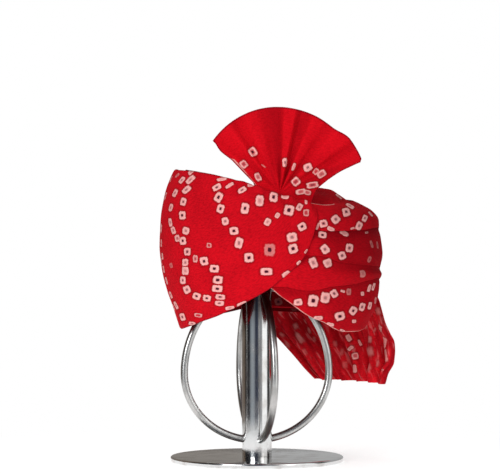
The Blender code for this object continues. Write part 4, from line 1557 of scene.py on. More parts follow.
@dataclass
class ClothPiece:
    """One cloth of the turban: shaped by the rules, thickened, dotted and dressed."""

    name: str
    grid: ClothGrid
    thickness: float
    held: Held
    rests_on: tuple[str, ...]
    material: bpy.types.Material
    seed: int
    ripple: float = 1.0
    ripple_scale: float = 26.0

    def shape(self, ripple: RippleRule, pleats: PleatRule | None = None) -> None:
        """Move the grid's points by the rules.

        Args:
            ripple: the unevenness of the cloth.
            pleats: the pleats, on the fan.
        """
        mesh = bpy.data.meshes.new(self.name)
        flat = self.grid.points.reshape(-1, 3)
        mesh.from_pydata(flat.tolist(), [], self.grid.quads().tolist())
        mesh.materials.append(self.material)
        for label in ("loose", "pleat"):
            values = mesh.attributes.new(label, "FLOAT", "POINT")
            values.data.foreach_set("value", getattr(self.grid, label).ravel().astype(np.float32))
        mesh.shade_smooth()
        piece = new_object(self.name, mesh)
        if pleats:
            pleats.use(piece, depth=1.0, material=self.material)
        ripple.use(piece, amount=self.ripple * MM * 2.0, scale=self.ripple_scale,
                   seed=float(self.seed), material=self.material)
        moved = np.empty(flat.size, dtype=np.float32)
        piece.data.vertices.foreach_get("co", moved)
        self.grid.points = moved.astype(float).reshape(self.grid.points.shape)
        self.grid.refresh()
        bpy.data.objects.remove(piece, do_unlink=True)

    def rim_loops(self) -> list[np.ndarray]:
        """Edges of the cloth as loops of point numbers, anticlockwise seen from outside."""
        index = self.grid.numbers()
        if self.grid.ring:
            return [index[:, 0]] if self.grid.capped else [index[:, 0], index[::-1, -1]]
        return [np.concatenate((
            index[:, 0], index[-1, 1:], index[-2::-1, -1], index[0, -2:0:-1]))]

    def build(self, dots: TiedDots) -> bpy.types.Object:
        """Args:
            dots: the dots on it.

        Returns:
            The finished piece.
        """
        grid = self.grid
        columns, rows = grid.points.shape[:2]
        outer = grid.points.reshape(-1, 3)
        wall = np.maximum(self.thickness - grid.thin.ravel(), LEAST_WALL)[:, None] * MM
        inner = outer - grid.normals.reshape(-1, 3) * wall
        count = len(outer)
        quads = grid.quads()
        vertices = [outer, inner]
        faces = [quads, quads[:, ::-1] + count]
        owners = [quads, quads[:, ::-1]]
        total = 2 * count
        first = 0 if grid.ring else 1
        for loop in self.rim_loops():
            i = np.clip(loop // rows, first, columns - 1 - first)
            j = np.clip(loop % rows, 1, rows - 2)
            outward = unit(outer[loop] - grid.points[i, j])
            vertices.append((outer[loop] + inner[loop]) / 2.0 + outward * wall[loop] * EDGE_ROUND)
            lips = total + np.arange(len(loop))
            total += len(loop)
            following, next_lips = np.roll(loop, -1), np.roll(lips, -1)
            faces.append(np.stack((loop, following, next_lips, lips), axis=-1))
            faces.append(np.stack((lips, next_lips, following + count, loop + count), axis=-1))
            owners += [np.stack((loop, following, following, loop), axis=-1)] * 2
        caps = []
        if grid.capped:
            top = grid.numbers()[:, -1]
            caps = [top[::-1].tolist(), (top + count).tolist()]
        mesh = bpy.data.meshes.new(self.name + "_cloth")
        mesh.from_pydata(np.concatenate(vertices).tolist(), [], np.concatenate(faces).tolist() + caps)
        mesh.materials.append(self.material)
        self.write_maps(mesh, dots, quads, np.concatenate(owners), sum(len(cap) for cap in caps))
        mesh.shade_smooth()
        piece = new_object(self.name + "_cloth", mesh)
        self.declare(piece)
        return piece

    def write_maps(self, mesh: bpy.types.Mesh, dots: TiedDots, quads: np.ndarray,
                   owners: np.ndarray, cap_corners: int) -> None:
        """Write the maps that the material reads.

        Args:
            mesh: the thickened cloth.
            dots: the dots on it.
            quads: the outer faces.
            owners: for each corner of each face, the grid's point it belongs to.
            cap_corners: how many more corners the closing faces have.
        """
        offset, tone = dots.offsets(quads)
        rest = len(owners) - 2 * len(quads)
        plain = np.full((rest, 4, 2), FAR)
        offset = np.concatenate((offset, offset[:, ::-1], plain))
        # Inside, painted shade dims the dots
        within = tone[:, ::-1] * (1.0 - self.grid.inner_shade, 1.0, 1.0)
        tone = np.concatenate((tone, within, np.zeros((rest, 4, 3))))
        along, up = (values.ravel()[owners] for values in self.grid.lengths())
        pale = self.grid.pale_edge.ravel()[owners]
        pale[len(quads):2 * len(quads)] = NO_EDGE
        dark = self.grid.dark_edge.ravel()[owners]
        layers = {
            "cloth": np.stack((along, up), axis=-1), "dots": offset, "look": tone[..., :2],
            "kind": np.stack((tone[..., 2], tone[..., 2]), axis=-1),
            "rim": np.stack((pale, dark), axis=-1),
        }
        fillers = {"dots": FAR, "rim": NO_EDGE}
        for label, values in layers.items():
            filler = np.full((cap_corners, 2), fillers.get(label, 0.0))
            flat = np.concatenate((values.reshape(-1, 2), filler)).astype(np.float32)
            layer = mesh.uv_layers.new(name=label)
            layer.data.foreach_set("uv", flat.ravel())
        # Painted shade: as given outside, deeper inside, and set on the rolled edges
        shade = np.zeros(len(mesh.vertices), dtype=np.float32)
        known = self.grid.shade.ravel()
        shade[:len(known)] = known
        shade[len(known):2 * len(known)] = np.clip(
            known + self.grid.inner_shade, 0.0, DEEPEST_INSIDE)
        shade[2 * len(known):] = EDGE_SHADE + EDGE_SHADE_SHARE * self.grid.inner_shade
        mesh.attributes.new("shade", "FLOAT", "POINT").data.foreach_set("value", shade)

    def declare(self, piece: bpy.types.Object) -> None:
        """Attach the piece, hide the CAD part it takes the place of, and log its faces and flat size."""
        width, length, area = self.grid.flat_size()
        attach(piece, ROOT)
        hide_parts(self.name)
        list(self.rests_on)
        LOG.info("%s: %d faces, flat %.0f x %.0f mm", self.name, len(piece.data.polygons),
                 width / MM, length / MM)


ROWS_EVEN = 0.6
ROWS_CLOSER = 0.4


def raised(wave: np.ndarray) -> np.ndarray:
    """A wave between -1 and 1 as one between 0 and 1."""
    return 0.5 + 0.5 * wave


def row_shares(count: int) -> np.ndarray:
    """Rows from 0 to 1, closer together near both edges."""
    even = np.linspace(0.0, 1.0, count + 1)
    return ROWS_EVEN * even + ROWS_CLOSER * (0.5 - 0.5 * np.cos(math.pi * even))


def lip(distance: np.ndarray, reach: float = 2.6, drop: float = 1.1) -> np.ndarray:
    """How much deeper a rolled edge lies, in mm, at a distance from it."""
    short = np.clip(1.0 - distance / reach, 0.0, 1.0)
    return drop * short * short


@dataclass(frozen=True)
class Columns:
    """Columns of a band: the angle of each at one height, and how it leans."""

    base: np.ndarray
    lean: np.ndarray

    def angle(self, height: np.ndarray) -> np.ndarray:
        """Angle of each column at a height in mm."""
        return self.base + self.lean * (height - SLANT_HEIGHT)


class Band:
    """One turn of cloth on the form between its lower edge and its top level."""

    def __init__(self, form: TurbanForm, columns: Columns, low: SmoothTable,
                 top_level: Callable[[np.ndarray], np.ndarray], rows: int) -> None:
        """Work out where each point of the band lies round the form.

        Args:
            form: the turban's form.
            columns: the band's columns.
            low: height of its lower edge at an angle.
            top_level: level of its top at an angle.
            rows: how many rows of faces.
        """
        self.form = form
        low_angle = columns.angle(SLANT_HEIGHT)
        for _ in range(SETTLE_ROUNDS):
            low_angle = columns.angle(low(low_angle))
        high_angle = low_angle
        for _ in range(SETTLE_ROUNDS):
            high_angle = columns.angle(form.point(high_angle, top_level(high_angle))[..., 2] / MM)
        low_level = form.level_at(low_angle, low(low_angle))
        high_level = top_level(high_angle)
        share = row_shares(rows)[None, :]
        self.angle = low_angle[:, None] + (high_angle - low_angle)[:, None] * share
        self.level = low_level[:, None] + (high_level - low_level)[:, None] * share
        height = form.point(self.angle, self.level)[..., 2] / MM
        self.above_hem = height - height[:, :1]
        self.below_top = height[:, -1:] - height
        self.share = np.broadcast_to(share, self.angle.shape)

    def grid(self, depth: np.ndarray, **looks: np.ndarray) -> ClothGrid:
        """The band's cloth at a depth in mm below the form."""
        return ClothGrid(self.form.skin(self.angle, self.level, depth), **looks)


@dataclass(frozen=True)
class LeftWrap:
    """Broad smooth turn across the front and the left side."""

    # Small gathers under the fan: where they are by mm and degrees, their depth, count and slant
    GATHERED_BELOW_TOP = (2.0, 26.0)
    GATHERED_FROM = (-34.0, -20.0)
    GATHERED_TO = (8.0, 26.0)
    GATHER_DEPTH = 0.9
    GATHER_WAVES = 42.0
    GATHER_SLANT = 0.09
    # Painted shade in the gathers' valleys
    GATHER_SHADE = 0.20
    # Broad waves over the whole wrap, away from its edges
    BROAD_DEPTH = 0.55
    BROAD_UP = 17.0
    BROAD_ROUND = 23.0
    BROAD_WAVES = 2.0
    BROAD_START = 30.0
    BROAD_CLEAR = (4.0, 22.0)
    # Painted shade where the wrap turns away at the left side
    SIDE_SHADE = 0.22
    SIDE_SHADE_FROM = (80.0, 91.0)

    columns: int = 230
    front_columns: int = 46
    rows: int = 86

    def grid(self, form: TurbanForm) -> ClothGrid:
        """Work out the cloth."""
        low = form.edge(LEFT_HEM)
        top = form.edge(LEFT_TOP)
        tip = float(form.angle_at(LEFT_HEM[0].across, LEFT_HEM[0].height))
        front = np.linspace(tip, 0.0, self.front_columns)
        side = np.linspace(0.0, LEFT_HEM[-1].angle, self.columns - self.front_columns + 1)[1:]
        places = np.concatenate((front, side))
        columns = Columns(places, np.zeros(len(places)))
        band = Band(form, columns, low, lambda angle: form.level_at(angle, top(angle)), self.rows)
        angle = band.angle
        gathered = 1.0 - ramp(*self.GATHERED_BELOW_TOP, band.below_top)
        gathered = gathered * window(self.GATHERED_FROM, self.GATHERED_TO, angle)
        wave = np.sin(np.radians(angle * self.GATHER_WAVES) + self.GATHER_SLANT * band.below_top)
        broad = self.BROAD_DEPTH * np.sin(band.above_hem / self.BROAD_UP + angle / self.BROAD_ROUND)
        broad = broad * np.sin(np.radians(angle * self.BROAD_WAVES + self.BROAD_START))
        broad = broad * ramp(*self.BROAD_CLEAR, band.above_hem) * ramp(*self.BROAD_CLEAR, band.below_top)
        edges = lip(band.above_hem) + lip(band.below_top)
        depth = LEFT_BACK_LAYERS * LAYER * ramp(*LEFT_SINKS, angle)
        depth = depth + self.GATHER_DEPTH * gathered * wave + broad + edges
        # Painted shade: in the gathers' valleys and at the left side
        shade = self.GATHER_SHADE * gathered * raised(wave)
        shade = shade + self.SIDE_SHADE * ramp(*self.SIDE_SHADE_FROM, angle)
        edge = np.minimum(band.above_hem, band.below_top)
        return band.grid(depth, shade=shade, thin=edges, dark_edge=edge)


class FoldShade(NamedTuple):
    """Painted shade of a right fold at an angle round the head."""

    angle: float
    shade: float


@dataclass(frozen=True)
class RightFold:
    """One of the folds that fan out from under the left wrap and run round the back."""

    TOP_BELOW_SHOULDER = 0.1
    HEM_GAP = 1.0
    HEM_DROP = 1.35
    HEM_WAVER = 0.8
    HEM_WAVES = 9.0
    SWELLS_FROM = (2.0, 12.0)
    # Swelling at the side: by degrees, by mm under the fold above and by mm over the hem
    SIDE_FROM = (50.0, 68.0)
    SIDE_TO = (92.0, 135.0)
    SIDE_BELOW = (-6.0, 4.0)
    SIDE_ABOVE = (0.0, 26.0)
    CREASE_DEPTH = 0.45
    CREASE_UP = 7.5
    CREASE_ROUND = 31.0
    CREASE_WAVES = 3.1
    CREASE_ABOVE = (3.0, 10.0)
    CREASE_BELOW = (3.0, 12.0)
    # Painted shadow just under the fold above: how dark, and over how many mm
    UNDER_SHADE = 0.30
    UNDER_REACH = (-2.0, 15.0)
    # The pale hem, and the painted highlight along the ridge: how they narrow and end, by degrees to the
    # right
    PALE_NARROWS = 0.45
    PALE_NARROWS_FROM = (12.0, 30.0)
    PALE_HEM_ENDS = (95.0, 110.0)
    RIDGE_GAP = 0.55
    RIDGE_ENDS = (42.0, 54.0)

    name: str
    hem: tuple[Front | Seen | Turn, ...]
    above: tuple[Front | Seen | Turn, ...] | None
    start: float
    behind: int
    # Painted shade along the fold, by angle round the head
    tones: tuple[FoldShade, ...]
    pale_hem: bool = False
    pale_ridge: bool = False
    soft_hem: float = 7.0
    swell: float = 0.9
    side_swell: float = 0.0
    columns: int = 190
    rows: int = 34

    def grid(self, form: TurbanForm) -> ClothGrid:
        """Work out the cloth."""
        low = form.edge(self.hem)
        above = form.edge(self.above) if self.above else None

        def top_level(angle: np.ndarray) -> np.ndarray:
            if above is None:
                rise = UPPER_TOP_RISE * ramp(*UPPER_TOP_RISES, -angle)
                drop = UPPER_END_DROP * ramp(*UPPER_END_DROPS, -angle)
                return SHOULDER - self.TOP_BELOW_SHOULDER + rise - drop
            return form.level_at(angle, above(angle) + LAP)

        share = np.linspace(1.0, 0.0, self.columns + 1)
        columns = Columns(self.start + share * (FOLD_END - self.start), share * FOLD_SLANT)
        band = Band(form, columns, low, top_level, self.rows)
        angle = band.angle
        depth = LAYER * ramp(*FOLDS_MEET_LEFT, angle)
        tuck = np.zeros(angle.shape)
        if above is not None:
            loose = np.maximum(
                band.below_top + band.above_hem - LAP - self.HEM_GAP, LAP + TUCK_LOOSE)
            tuck = LAYER * (1.0 - ramp(LAP + TUCK_START, loose, band.below_top))
        if self.behind:
            tuck = tuck + (self.behind * LAYER - tuck) * ramp(*HEM_SINKS, -angle)
        waver = self.HEM_WAVER * np.sin(np.radians(angle * self.HEM_WAVES))
        hem = lip(band.above_hem + waver, self.soft_hem, self.HEM_DROP)
        visible = band.below_top - (LAP if self.above else 0.0)
        swell = self.swell * np.sin(math.pi * band.share) * ramp(*self.SWELLS_FROM, visible)
        side = self.side_swell * window(self.SIDE_FROM, self.SIDE_TO, -angle)
        side = side * ramp(*self.SIDE_BELOW, visible) * ramp(*self.SIDE_ABOVE, band.above_hem)
        crease = np.sin(band.above_hem / self.CREASE_UP + angle / self.CREASE_ROUND)
        crease = crease * np.sin(np.radians(angle * self.CREASE_WAVES) + self.start)
        crease = crease * ramp(*self.CREASE_ABOVE, band.above_hem) * ramp(*self.CREASE_BELOW, visible)
        depth = LAYER * ramp(*FOLDS_MEET_LEFT, angle) + tuck + hem
        depth = depth - swell - side + self.CREASE_DEPTH * crease
        # Painted shade: by the angle round the head, and a shadow just under the fold above
        tone = SmoothTable([row.angle for row in self.tones], [row.shade for row in self.tones])(angle)
        under = self.UNDER_SHADE * (1.0 - ramp(*self.UNDER_REACH, visible)) if self.above else 0.0
        shade = np.clip(tone + under, 0.0, DEEPEST_INSIDE)
        pale = np.full(angle.shape, NO_EDGE)
        if self.pale_hem:
            pale = band.above_hem + self.PALE_NARROWS * ramp(*self.PALE_NARROWS_FROM, -angle)
            pale = pale + NO_EDGE * ramp(*self.PALE_HEM_ENDS, -angle)
        # Painted highlight along the ridge at the top of the upper fold
        if self.pale_ridge:
            pale = band.below_top + self.RIDGE_GAP + NO_EDGE * ramp(*self.RIDGE_ENDS, -angle)
        return band.grid(depth, shade=shade, pale_edge=pale, thin=hem)


RIGHT_FOLDS = (
    RightFold("right_wrap_upper", UPPER_HEM, None, -7.5, 0, listed(
        FoldShade, (-200, 0.25), (-110, 0.30), (-70, 0.34), (-45, 0.20),
        (-28, 0.03), (0, 0.0)), pale_ridge=True, soft_hem=10.0),
    RightFold("right_wrap_middle", MIDDLE_HEM, UPPER_HEM, -7.5, 0, listed(
        FoldShade, (-200, 0.25), (-110, 0.34), (-75, 0.50), (-50, 0.48),
        (-34, 0.38), (-22, 0.15), (0, 0.05)), soft_hem=14.0),
    RightFold("right_wrap_low", LOW_HEM, MIDDLE_HEM, 7.5, 0, listed(
        FoldShade, (-200, 0.25), (-110, 0.28), (-70, 0.38), (-48, 0.22),
        (-25, 0.06), (10, 0.0)), soft_hem=9.0, swell=1.8, side_swell=2.2),
    RightFold("right_wrap_hem", RIGHT_HEM, LOW_HEM, 7.5, HEM_BEHIND_LAYERS, listed(
        FoldShade, (-200, 0.25), (-110, 0.32), (-75, 0.36), (-48, 0.26),
        (-25, 0.14), (10, 0.08)), pale_hem=True, soft_hem=3.0, side_swell=3.2),
)
FOLD_DOTS = (UPPER_DOTS, MIDDLE_DOTS, LOW_DOTS, HEM_DOTS)
FOLD_SEEDS = (21, 22, 23, 24)


@dataclass(frozen=True)
class Crown:
    """Hollow crown: a band round the head, and a top folded to its centre."""

    # Stretches by degrees and by level, and painted shade
    LOWER_FROM = (0.0, 12.0)
    LOWER_TO = (70.0, 95.0)
    LOWER_BEGINS = (7.0, 7.6)
    LOWER_ENDS = (8.6, 9.6)
    SHADE = 0.16
    FOLD_SHADE = 0.22
    RIGHT_SHADE = 0.10
    RIGHT_FROM = (10.0, 30.0)
    RIGHT_TO = (70.0, 110.0)

    form: TurbanForm
    columns: int = 216
    band_rows: int = 40
    side_rows: int = 24
    top_rows: int = 46

    def depth(self, angle: np.ndarray, level: np.ndarray) -> np.ndarray:
        """Depth in mm below the form, under every turn and level with it inside the shoulder."""
        front = CROWN_FRONT_LAYERS * LAYER
        back = CROWN_BACK_LAYERS * LAYER
        left = CROWN_LEFT_LAYERS * LAYER
        on_left = front + (left - front) * ramp(*CROWN_RISES_LEFT, angle)
        on_left = np.maximum(on_left, left + (back - left) * ramp(*CROWN_SINKS_LEFT, angle))
        on_right = front + (back - front) * ramp(*CROWN_SINKS_RIGHT, -angle)
        depth = np.where(angle > 0.0, on_left, on_right)
        behind_fan = window(FAN_FROM, FAN_TO, angle)
        depth = depth + (LAYER - depth) * ramp(*CROWN_RISES, level) * (1.0 - behind_fan)
        return depth * (1.0 - ramp(*CROWN_MEETS_FORM, level))

    def grid(self, level: np.ndarray, angle: np.ndarray, **looks: object) -> ClothGrid:
        """The crown's cloth at these levels, with its shallow folds."""
        wave = np.sin(CROWN_FOLDS * (np.radians(angle) + CROWN_FOLD_TWIST * level))
        fade = window(CROWN_FOLDS_BEGIN, CROWN_FOLDS_END, level)
        lower = CROWN_BEHIND_TOP * window(self.LOWER_FROM, self.LOWER_TO, angle)
        lower = lower * window(self.LOWER_BEGINS, self.LOWER_ENDS, level)
        depth = self.depth(angle, level) + CROWN_FOLD_DEPTH * fade * wave + lower
        # Painted shade: all over, deeper in the folds' valleys and at the front right
        shade = self.SHADE + self.FOLD_SHADE * fade * raised(wave)
        shade = shade + self.RIGHT_SHADE * window(self.RIGHT_FROM, self.RIGHT_TO, -angle)
        return ClothGrid(self.form.skin(angle, level, depth), ring=True, shade=shade, **looks)

    def angles(self) -> np.ndarray:
        """Angles of the columns, once round."""
        return np.linspace(-180.0, 180.0, self.columns + 1)[:-1][:, None]

    def band(self) -> ClothGrid:
        """First turns of the cloth round the head."""
        angle = self.angles()
        left = self.form.edge(LEFT_HEM)
        right = self.form.edge(RIGHT_HEM)
        seam = self.form.edge(BAND_TOP)
        hem = np.where(angle < 0.0, right(angle), left(angle)) + CROWN_HEM_RISE
        low = self.form.level_at(angle, hem)
        high = self.form.level_at(angle, seam(angle))
        level = low + (high - low) * row_shares(self.band_rows)[None, :]
        return self.grid(level, np.broadcast_to(angle, level.shape))

    def top(self) -> ClothGrid:
        """The cloth folded over the top of the head."""
        angle = self.angles()
        seam = self.form.edge(BAND_TOP)
        low = self.form.level_at(angle, seam(angle) + BAND_GAP)
        sides = low + (SHOULDER - low) * np.linspace(0.0, 1.0, self.side_rows)[None, :-1]
        over = np.linspace(SHOULDER, CROWN_LAST_LEVEL, self.top_rows)[None, :]
        level = np.concatenate((sides, np.broadcast_to(over, (self.columns, self.top_rows))), axis=1)
        return self.grid(level, np.broadcast_to(angle, level.shape), capped=True)


@dataclass(frozen=True)
class Fan:
    """Pleated fan whose neck is tucked between the wraps and the crown."""

    # Shares of the way from the mouth to the rim, and round the rim from the left
    BULGE_RISES = (0.52, 0.76)
    BULGE_FALLS = (0.76, 0.98)
    BULGE_SIDE = (0.0, 0.12)
    HOLLOW_SIDE = (0.86, 1.0)
    # Heights in mm over which the creases, the painted shade and the pale edge change
    CREASED_FROM = (286.0, 298.0)
    CREASED_TO = (303.0, 336.0)
    CREASE_BEND = 0.6
    CREASE_BEND_WAVES = 5.0
    CREASE_LIFT = 0.9
    # Painted shade of the creases, how much of the pleats' shade is kept near the gather, and shade in
    # the gather's mouth
    CREASE_SHADE = 0.12
    CREASE_SHADE_RANGE = 0.20
    TONE_HELD = 0.45
    MOUTH_SHADE = 0.35
    MOUTH_HEIGHTS = (284.0, 294.0)
    PALE_EDGE_ENDS = (322.0, 334.0)
    LOOSE_HELD = 0.25
    INNER_SHADE = 0.15

    form: TurbanForm
    columns: int = 260
    tucked_rows: int = 12
    open_rows: int = 62

    def rim(self) -> tuple[SmoothTable, SmoothTable]:
        """Direction of the rim from the gather in degrees, and its reach in mm, by share."""
        spots = np.array([self.form.view.on_plane(spot, FAN_SEEN_PLANE) for _, spot in FAN_RIM])
        x, z = spots[:, 0] - FAN_GATHER_ACROSS, spots[:, 1] - FAN_GATHER_HEIGHT
        shares = [share for share, _ in FAN_RIM]
        return SmoothTable(shares, np.degrees(np.arctan2(z, x))), SmoothTable(shares, np.hypot(x, z))

    def grid(self) -> ClothGrid:
        """Work out the cloth before its pleats."""
        form = self.form
        read = read_rows(FAN_ROWS, "share")
        share = np.linspace(1.0, 0.0, self.columns + 1)
        neck, mouth = (
            np.stack((read[end + "_x"](share), read[end + "_z"](share)), axis=-1)[:, None]
            for end in ("neck", "mouth"))
        rim_angle, reach = (table(share) for table in self.rim())
        rim_x = FAN_GATHER_ACROSS + np.cos(np.radians(rim_angle)) * reach
        rim_z = FAN_GATHER_HEIGHT + np.sin(np.radians(rim_angle)) * reach
        rim = np.stack((rim_x, rim_z), axis=-1)[:, None]
        low = np.linspace(0.0, 1.0, self.tucked_rows + 1)[None, :-1, None]
        high = np.linspace(0.0, 1.0, self.open_rows + 1)[None, :, None]
        spread = mouth + (rim - mouth) * high
        bulge = window(self.BULGE_RISES, self.BULGE_FALLS, high[..., 0])
        spread[..., 0] -= FAN_LEFT_BULGE * bulge * (1.0 - ramp(*self.BULGE_SIDE, share))[:, None]
        hollow = np.sin(math.pi * high[..., 0]) * ramp(*self.HOLLOW_SIDE, share)[:, None]
        spread[..., 1] += FAN_RIGHT_HOLLOW * hollow
        flat = np.concatenate((neck + (mouth - neck) * low, spread), axis=1)
        x, z = flat[..., 0], flat[..., 1]
        top = form.edge(LEFT_TOP)
        across = np.clip(x, -FAN_SIDE_LIMIT, FAN_SIDE_LIMIT)
        angle = form.angle_at(across, np.full(x.shape, FAN_HELD_HEIGHT))
        held = np.minimum(z, np.maximum(top(angle), FAN_HELD_HEIGHT) + FAN_HELD_ABOVE)
        angle = form.angle_at(across, held)
        level = form.level_at(angle, held)
        inset = np.minimum(-FAN_LAYERS * LAYER / form.normal(angle, level)[..., 1], FAN_INSET)
        y = form.point(angle, level)[..., 1] / MM + inset
        free = ramp(0.0, FAN_FREE_RISE, z - held)
        y = y + (FAN_PLANE - y) * free + FAN_LEAN * np.maximum(0.0, z - FAN_LEAN_HEIGHT)
        points = np.stack((TURBAN_AXIS_X + x, y, z), axis=-1) * MM
        towards = np.degrees(np.arctan2(z - FAN_GATHER_HEIGHT, x - FAN_GATHER_ACROSS))
        towards = np.clip(towards, rim_angle.min(), rim_angle.max())
        return self.dress(points, towards, free, z)

    def dress(self, points: np.ndarray, towards: np.ndarray, free: np.ndarray,
              height: np.ndarray) -> ClothGrid:
        """Give the fan its pleats, painted shade and edges.

        Args:
            points: the fan without pleats.
            towards: direction of each point from the gather, in degrees.
            free: how free of the gather each point is.
            height: of each point in mm.

        Returns:
            The fan's cloth.
        """
        rows = sorted(PLEATS)
        places = [row.rim_angle for row in rows]
        lift = SmoothTable(places, [row.lift for row in rows])(towards)
        tone = SmoothTable(places, [row.shade for row in rows])(towards)
        bend = self.CREASE_BEND * np.sin(np.radians(towards * self.CREASE_BEND_WAVES))
        crease = np.sin(np.radians(towards * FAN_CREASES) + bend)
        near = window(self.CREASED_FROM, self.CREASED_TO, height)
        # Painted shade: in the pleats' valleys, along the creases, and in the gather's mouth
        shade = tone * (self.TONE_HELD + (1.0 - self.TONE_HELD) * free) * FAN_SHADE_SHARE
        shade = shade + near * (self.CREASE_SHADE + self.CREASE_SHADE_RANGE * crease)
        shade = shade + self.MOUTH_SHADE * (1.0 - ramp(*self.MOUTH_HEIGHTS, height))
        from_rim, from_left, from_right = (
            np.linalg.norm(points - edge, axis=-1) / MM
            for edge in (points[:, -1:], points[-1:], points[:1]))
        lift = lift * free * FAN_PLEAT_SHARE - self.CREASE_LIFT * near * crease
        return ClothGrid(
            points, shade=np.clip(shade, 0.0, DEEPEST_SHADE), pleat=lift * MM,
            loose=self.LOOSE_HELD + (1.0 - self.LOOSE_HELD) * free,
            pale_edge=from_left + NO_EDGE * ramp(*self.PALE_EDGE_ENDS, height),
            dark_edge=np.minimum(np.minimum(from_rim, from_left), from_right),
            inner_shade=self.INNER_SHADE)


@dataclass(frozen=True)
class Tail:
    """Free end of the cloth, hanging in gathered folds behind the right side."""

    # Second, smaller waves on the folds, and fine creases across them
    SMALL_WAVE = 0.22
    SMALL_WAVE_UP = 31.0
    SMALL_FROM = (0.0, 0.1)
    SMALL_TO = (0.9, 1.0)
    FOLD_SHARE = 0.72
    CREASE_DEPTH = 0.8
    CREASE_BEND = 0.8
    CREASE_BEND_UP = 17.0
    CREASE_BEND_ALONG = 9.0
    # Painted shade: in the folds and creases, on the left under the wraps, and darker along the right
    # edge
    SHADE = 0.02
    FOLD_SHADE = 0.18
    CREASE_SHADE = 0.12
    LEFT_SHADE = 0.34
    LEFT_SHARES = (0.1, 0.7)
    LEFT_HEIGHTS = (106.0, 136.0)
    EDGE_SHADE = 0.45
    EDGE_REACH = (2.5, 7.0)

    form: TurbanForm
    columns: int = 210
    rows: int = 60

    def edge_x(self, edge: Sequence[Seen], column: str) -> SmoothTable:
        """Mm to the right of the axis of an edge, by its height.

        Args:
            edge: its points in the photograph, from the top down.
            column: the column of the table that says how far back it hangs.

        Returns:
            The curve.
        """
        view = self.form.view
        heights, places = [], []
        for row in TAIL_ROWS:
            back = getattr(row, column)
            down = view.project(np.array((0.0, back, row.height)) * MM)[1]
            across = np.interp(down, [spot.down for spot in edge], [spot.across for spot in edge])
            heights.append(row.height)
            places.append(view.on_plane(Seen(float(across), float(down)), back)[0])
        return SmoothTable(heights, places)

    def grid(self) -> ClothGrid:
        """Work out the cloth."""
        form = self.form
        read = read_rows(TAIL_ROWS, "height")
        hem_above = form.edge(LOW_HEM)
        share = np.linspace(0.0, 1.0, self.columns + 1)[:, None]
        angle = TAIL_ANGLES[0] + (TAIL_ANGLES[1] - TAIL_ANGLES[0]) * share
        leaves = hem_above(angle)
        bottom = TAIL_ROWS[0].height
        height = bottom + (leaves + TAIL_TUCK - bottom) * np.linspace(0.0, 1.0, self.rows + 1)[None, :]
        tucked = form.skin(angle + 0.0 * height, form.level_at(angle, height), TAIL_DEPTH * LAYER)
        left, right = (
            np.stack((self.edge_x(edge, column)(height), read[column](height)), axis=-1)
            for edge, column in ((TAIL_LEFT, "left_y"), (TAIL_RIGHT, "right_y")))
        chord = right - left
        outward = unit(np.stack((-chord[..., 1], chord[..., 0]), axis=-1))
        bow = TAIL_BOW + (TAIL_BOW_TOP - TAIL_BOW) * ramp(*TAIL_BOW_HEIGHTS, height)
        middle = left + chord * share[..., None] + outward * (bow * np.sin(math.pi * share))[..., None]
        turns = 2.0 * math.pi * TAIL_FOLDS * share
        wave = np.sin(turns)
        small = self.SMALL_WAVE * np.sin(2.0 * turns + height / self.SMALL_WAVE_UP)
        small = small * window(self.SMALL_FROM, self.SMALL_TO, share)
        fold = read["fold"](height) * self.FOLD_SHARE
        slant = 2.0 * math.pi * (TAIL_CREASES * share - height / TAIL_CREASE_RISE)
        bend = np.sin(height / self.CREASE_BEND_UP + self.CREASE_BEND_ALONG * share)
        crease = np.sin(slant + self.CREASE_BEND * bend)
        free = middle + outward * (fold * (wave + small) + self.CREASE_DEPTH * crease)[..., None]
        free = np.stack((TURBAN_AXIS_X + free[..., 0], free[..., 1], height), axis=-1) * MM
        held = ramp(-TAIL_FREE_DROP, -TAIL_FREE_START, height - leaves)[..., None]
        points = free + (tucked - free) * held
        from_right = np.linalg.norm(points - points[-1:], axis=-1) / MM
        # Painted shade in the folds, the creases and under the wraps, and darker along the right edge
        shade = self.SHADE + self.FOLD_SHADE * raised(wave) + self.CREASE_SHADE * crease
        under = (1.0 - ramp(*self.LEFT_SHARES, share)) * ramp(*self.LEFT_HEIGHTS, height)
        shade = shade + self.LEFT_SHADE * under
        shade = shade + self.EDGE_SHADE * (1.0 - ramp(*self.EDGE_REACH, from_right))
        return ClothGrid(
            points, shade=np.clip(shade, 0.0, DEEPEST_SHADE), pale_edge=from_right, inner_shade=0.0)


def circle(radius: float, height: float) -> list[tuple[float, float, float]]:
    """Points in metres of a level circle round the post's axis, from its sizes in mm."""
    turns = np.linspace(0.0, 2.0 * math.pi, TURNED_SEGMENTS + 1)[:-1]
    return [(radius * math.cos(turn) * MM, radius * math.sin(turn) * MM, height * MM) for turn in turns]


def turned_mesh(name: str, profile: Sequence[tuple[float, float]]) -> bpy.types.Mesh:
    """Mesh turned round the post's axis.

    Args:
        name: the mesh's name.
        profile: radius and height in mm of each ring, from the bottom up.

    Returns:
        The closed mesh.
    """
    vertices = [point for radius, height in profile for point in circle(radius, height)]
    last = len(vertices) - TURNED_SEGMENTS
    faces = []
    for here in range(0, last, TURNED_SEGMENTS):
        above = here + TURNED_SEGMENTS
        for step in range(TURNED_SEGMENTS):
            following = (step + 1) % TURNED_SEGMENTS
            faces.append((here + step, here + following, above + following, above + step))
    faces.append(tuple(reversed(range(TURNED_SEGMENTS))))
    faces.append(tuple(range(last, last + TURNED_SEGMENTS)))
    mesh = bpy.data.meshes.new(name)
    mesh.from_pydata(vertices, [], faces)
    mesh.shade_smooth()
    mesh.set_sharp_from_angle(angle=math.radians(SHARP_DEGREES))
    return mesh


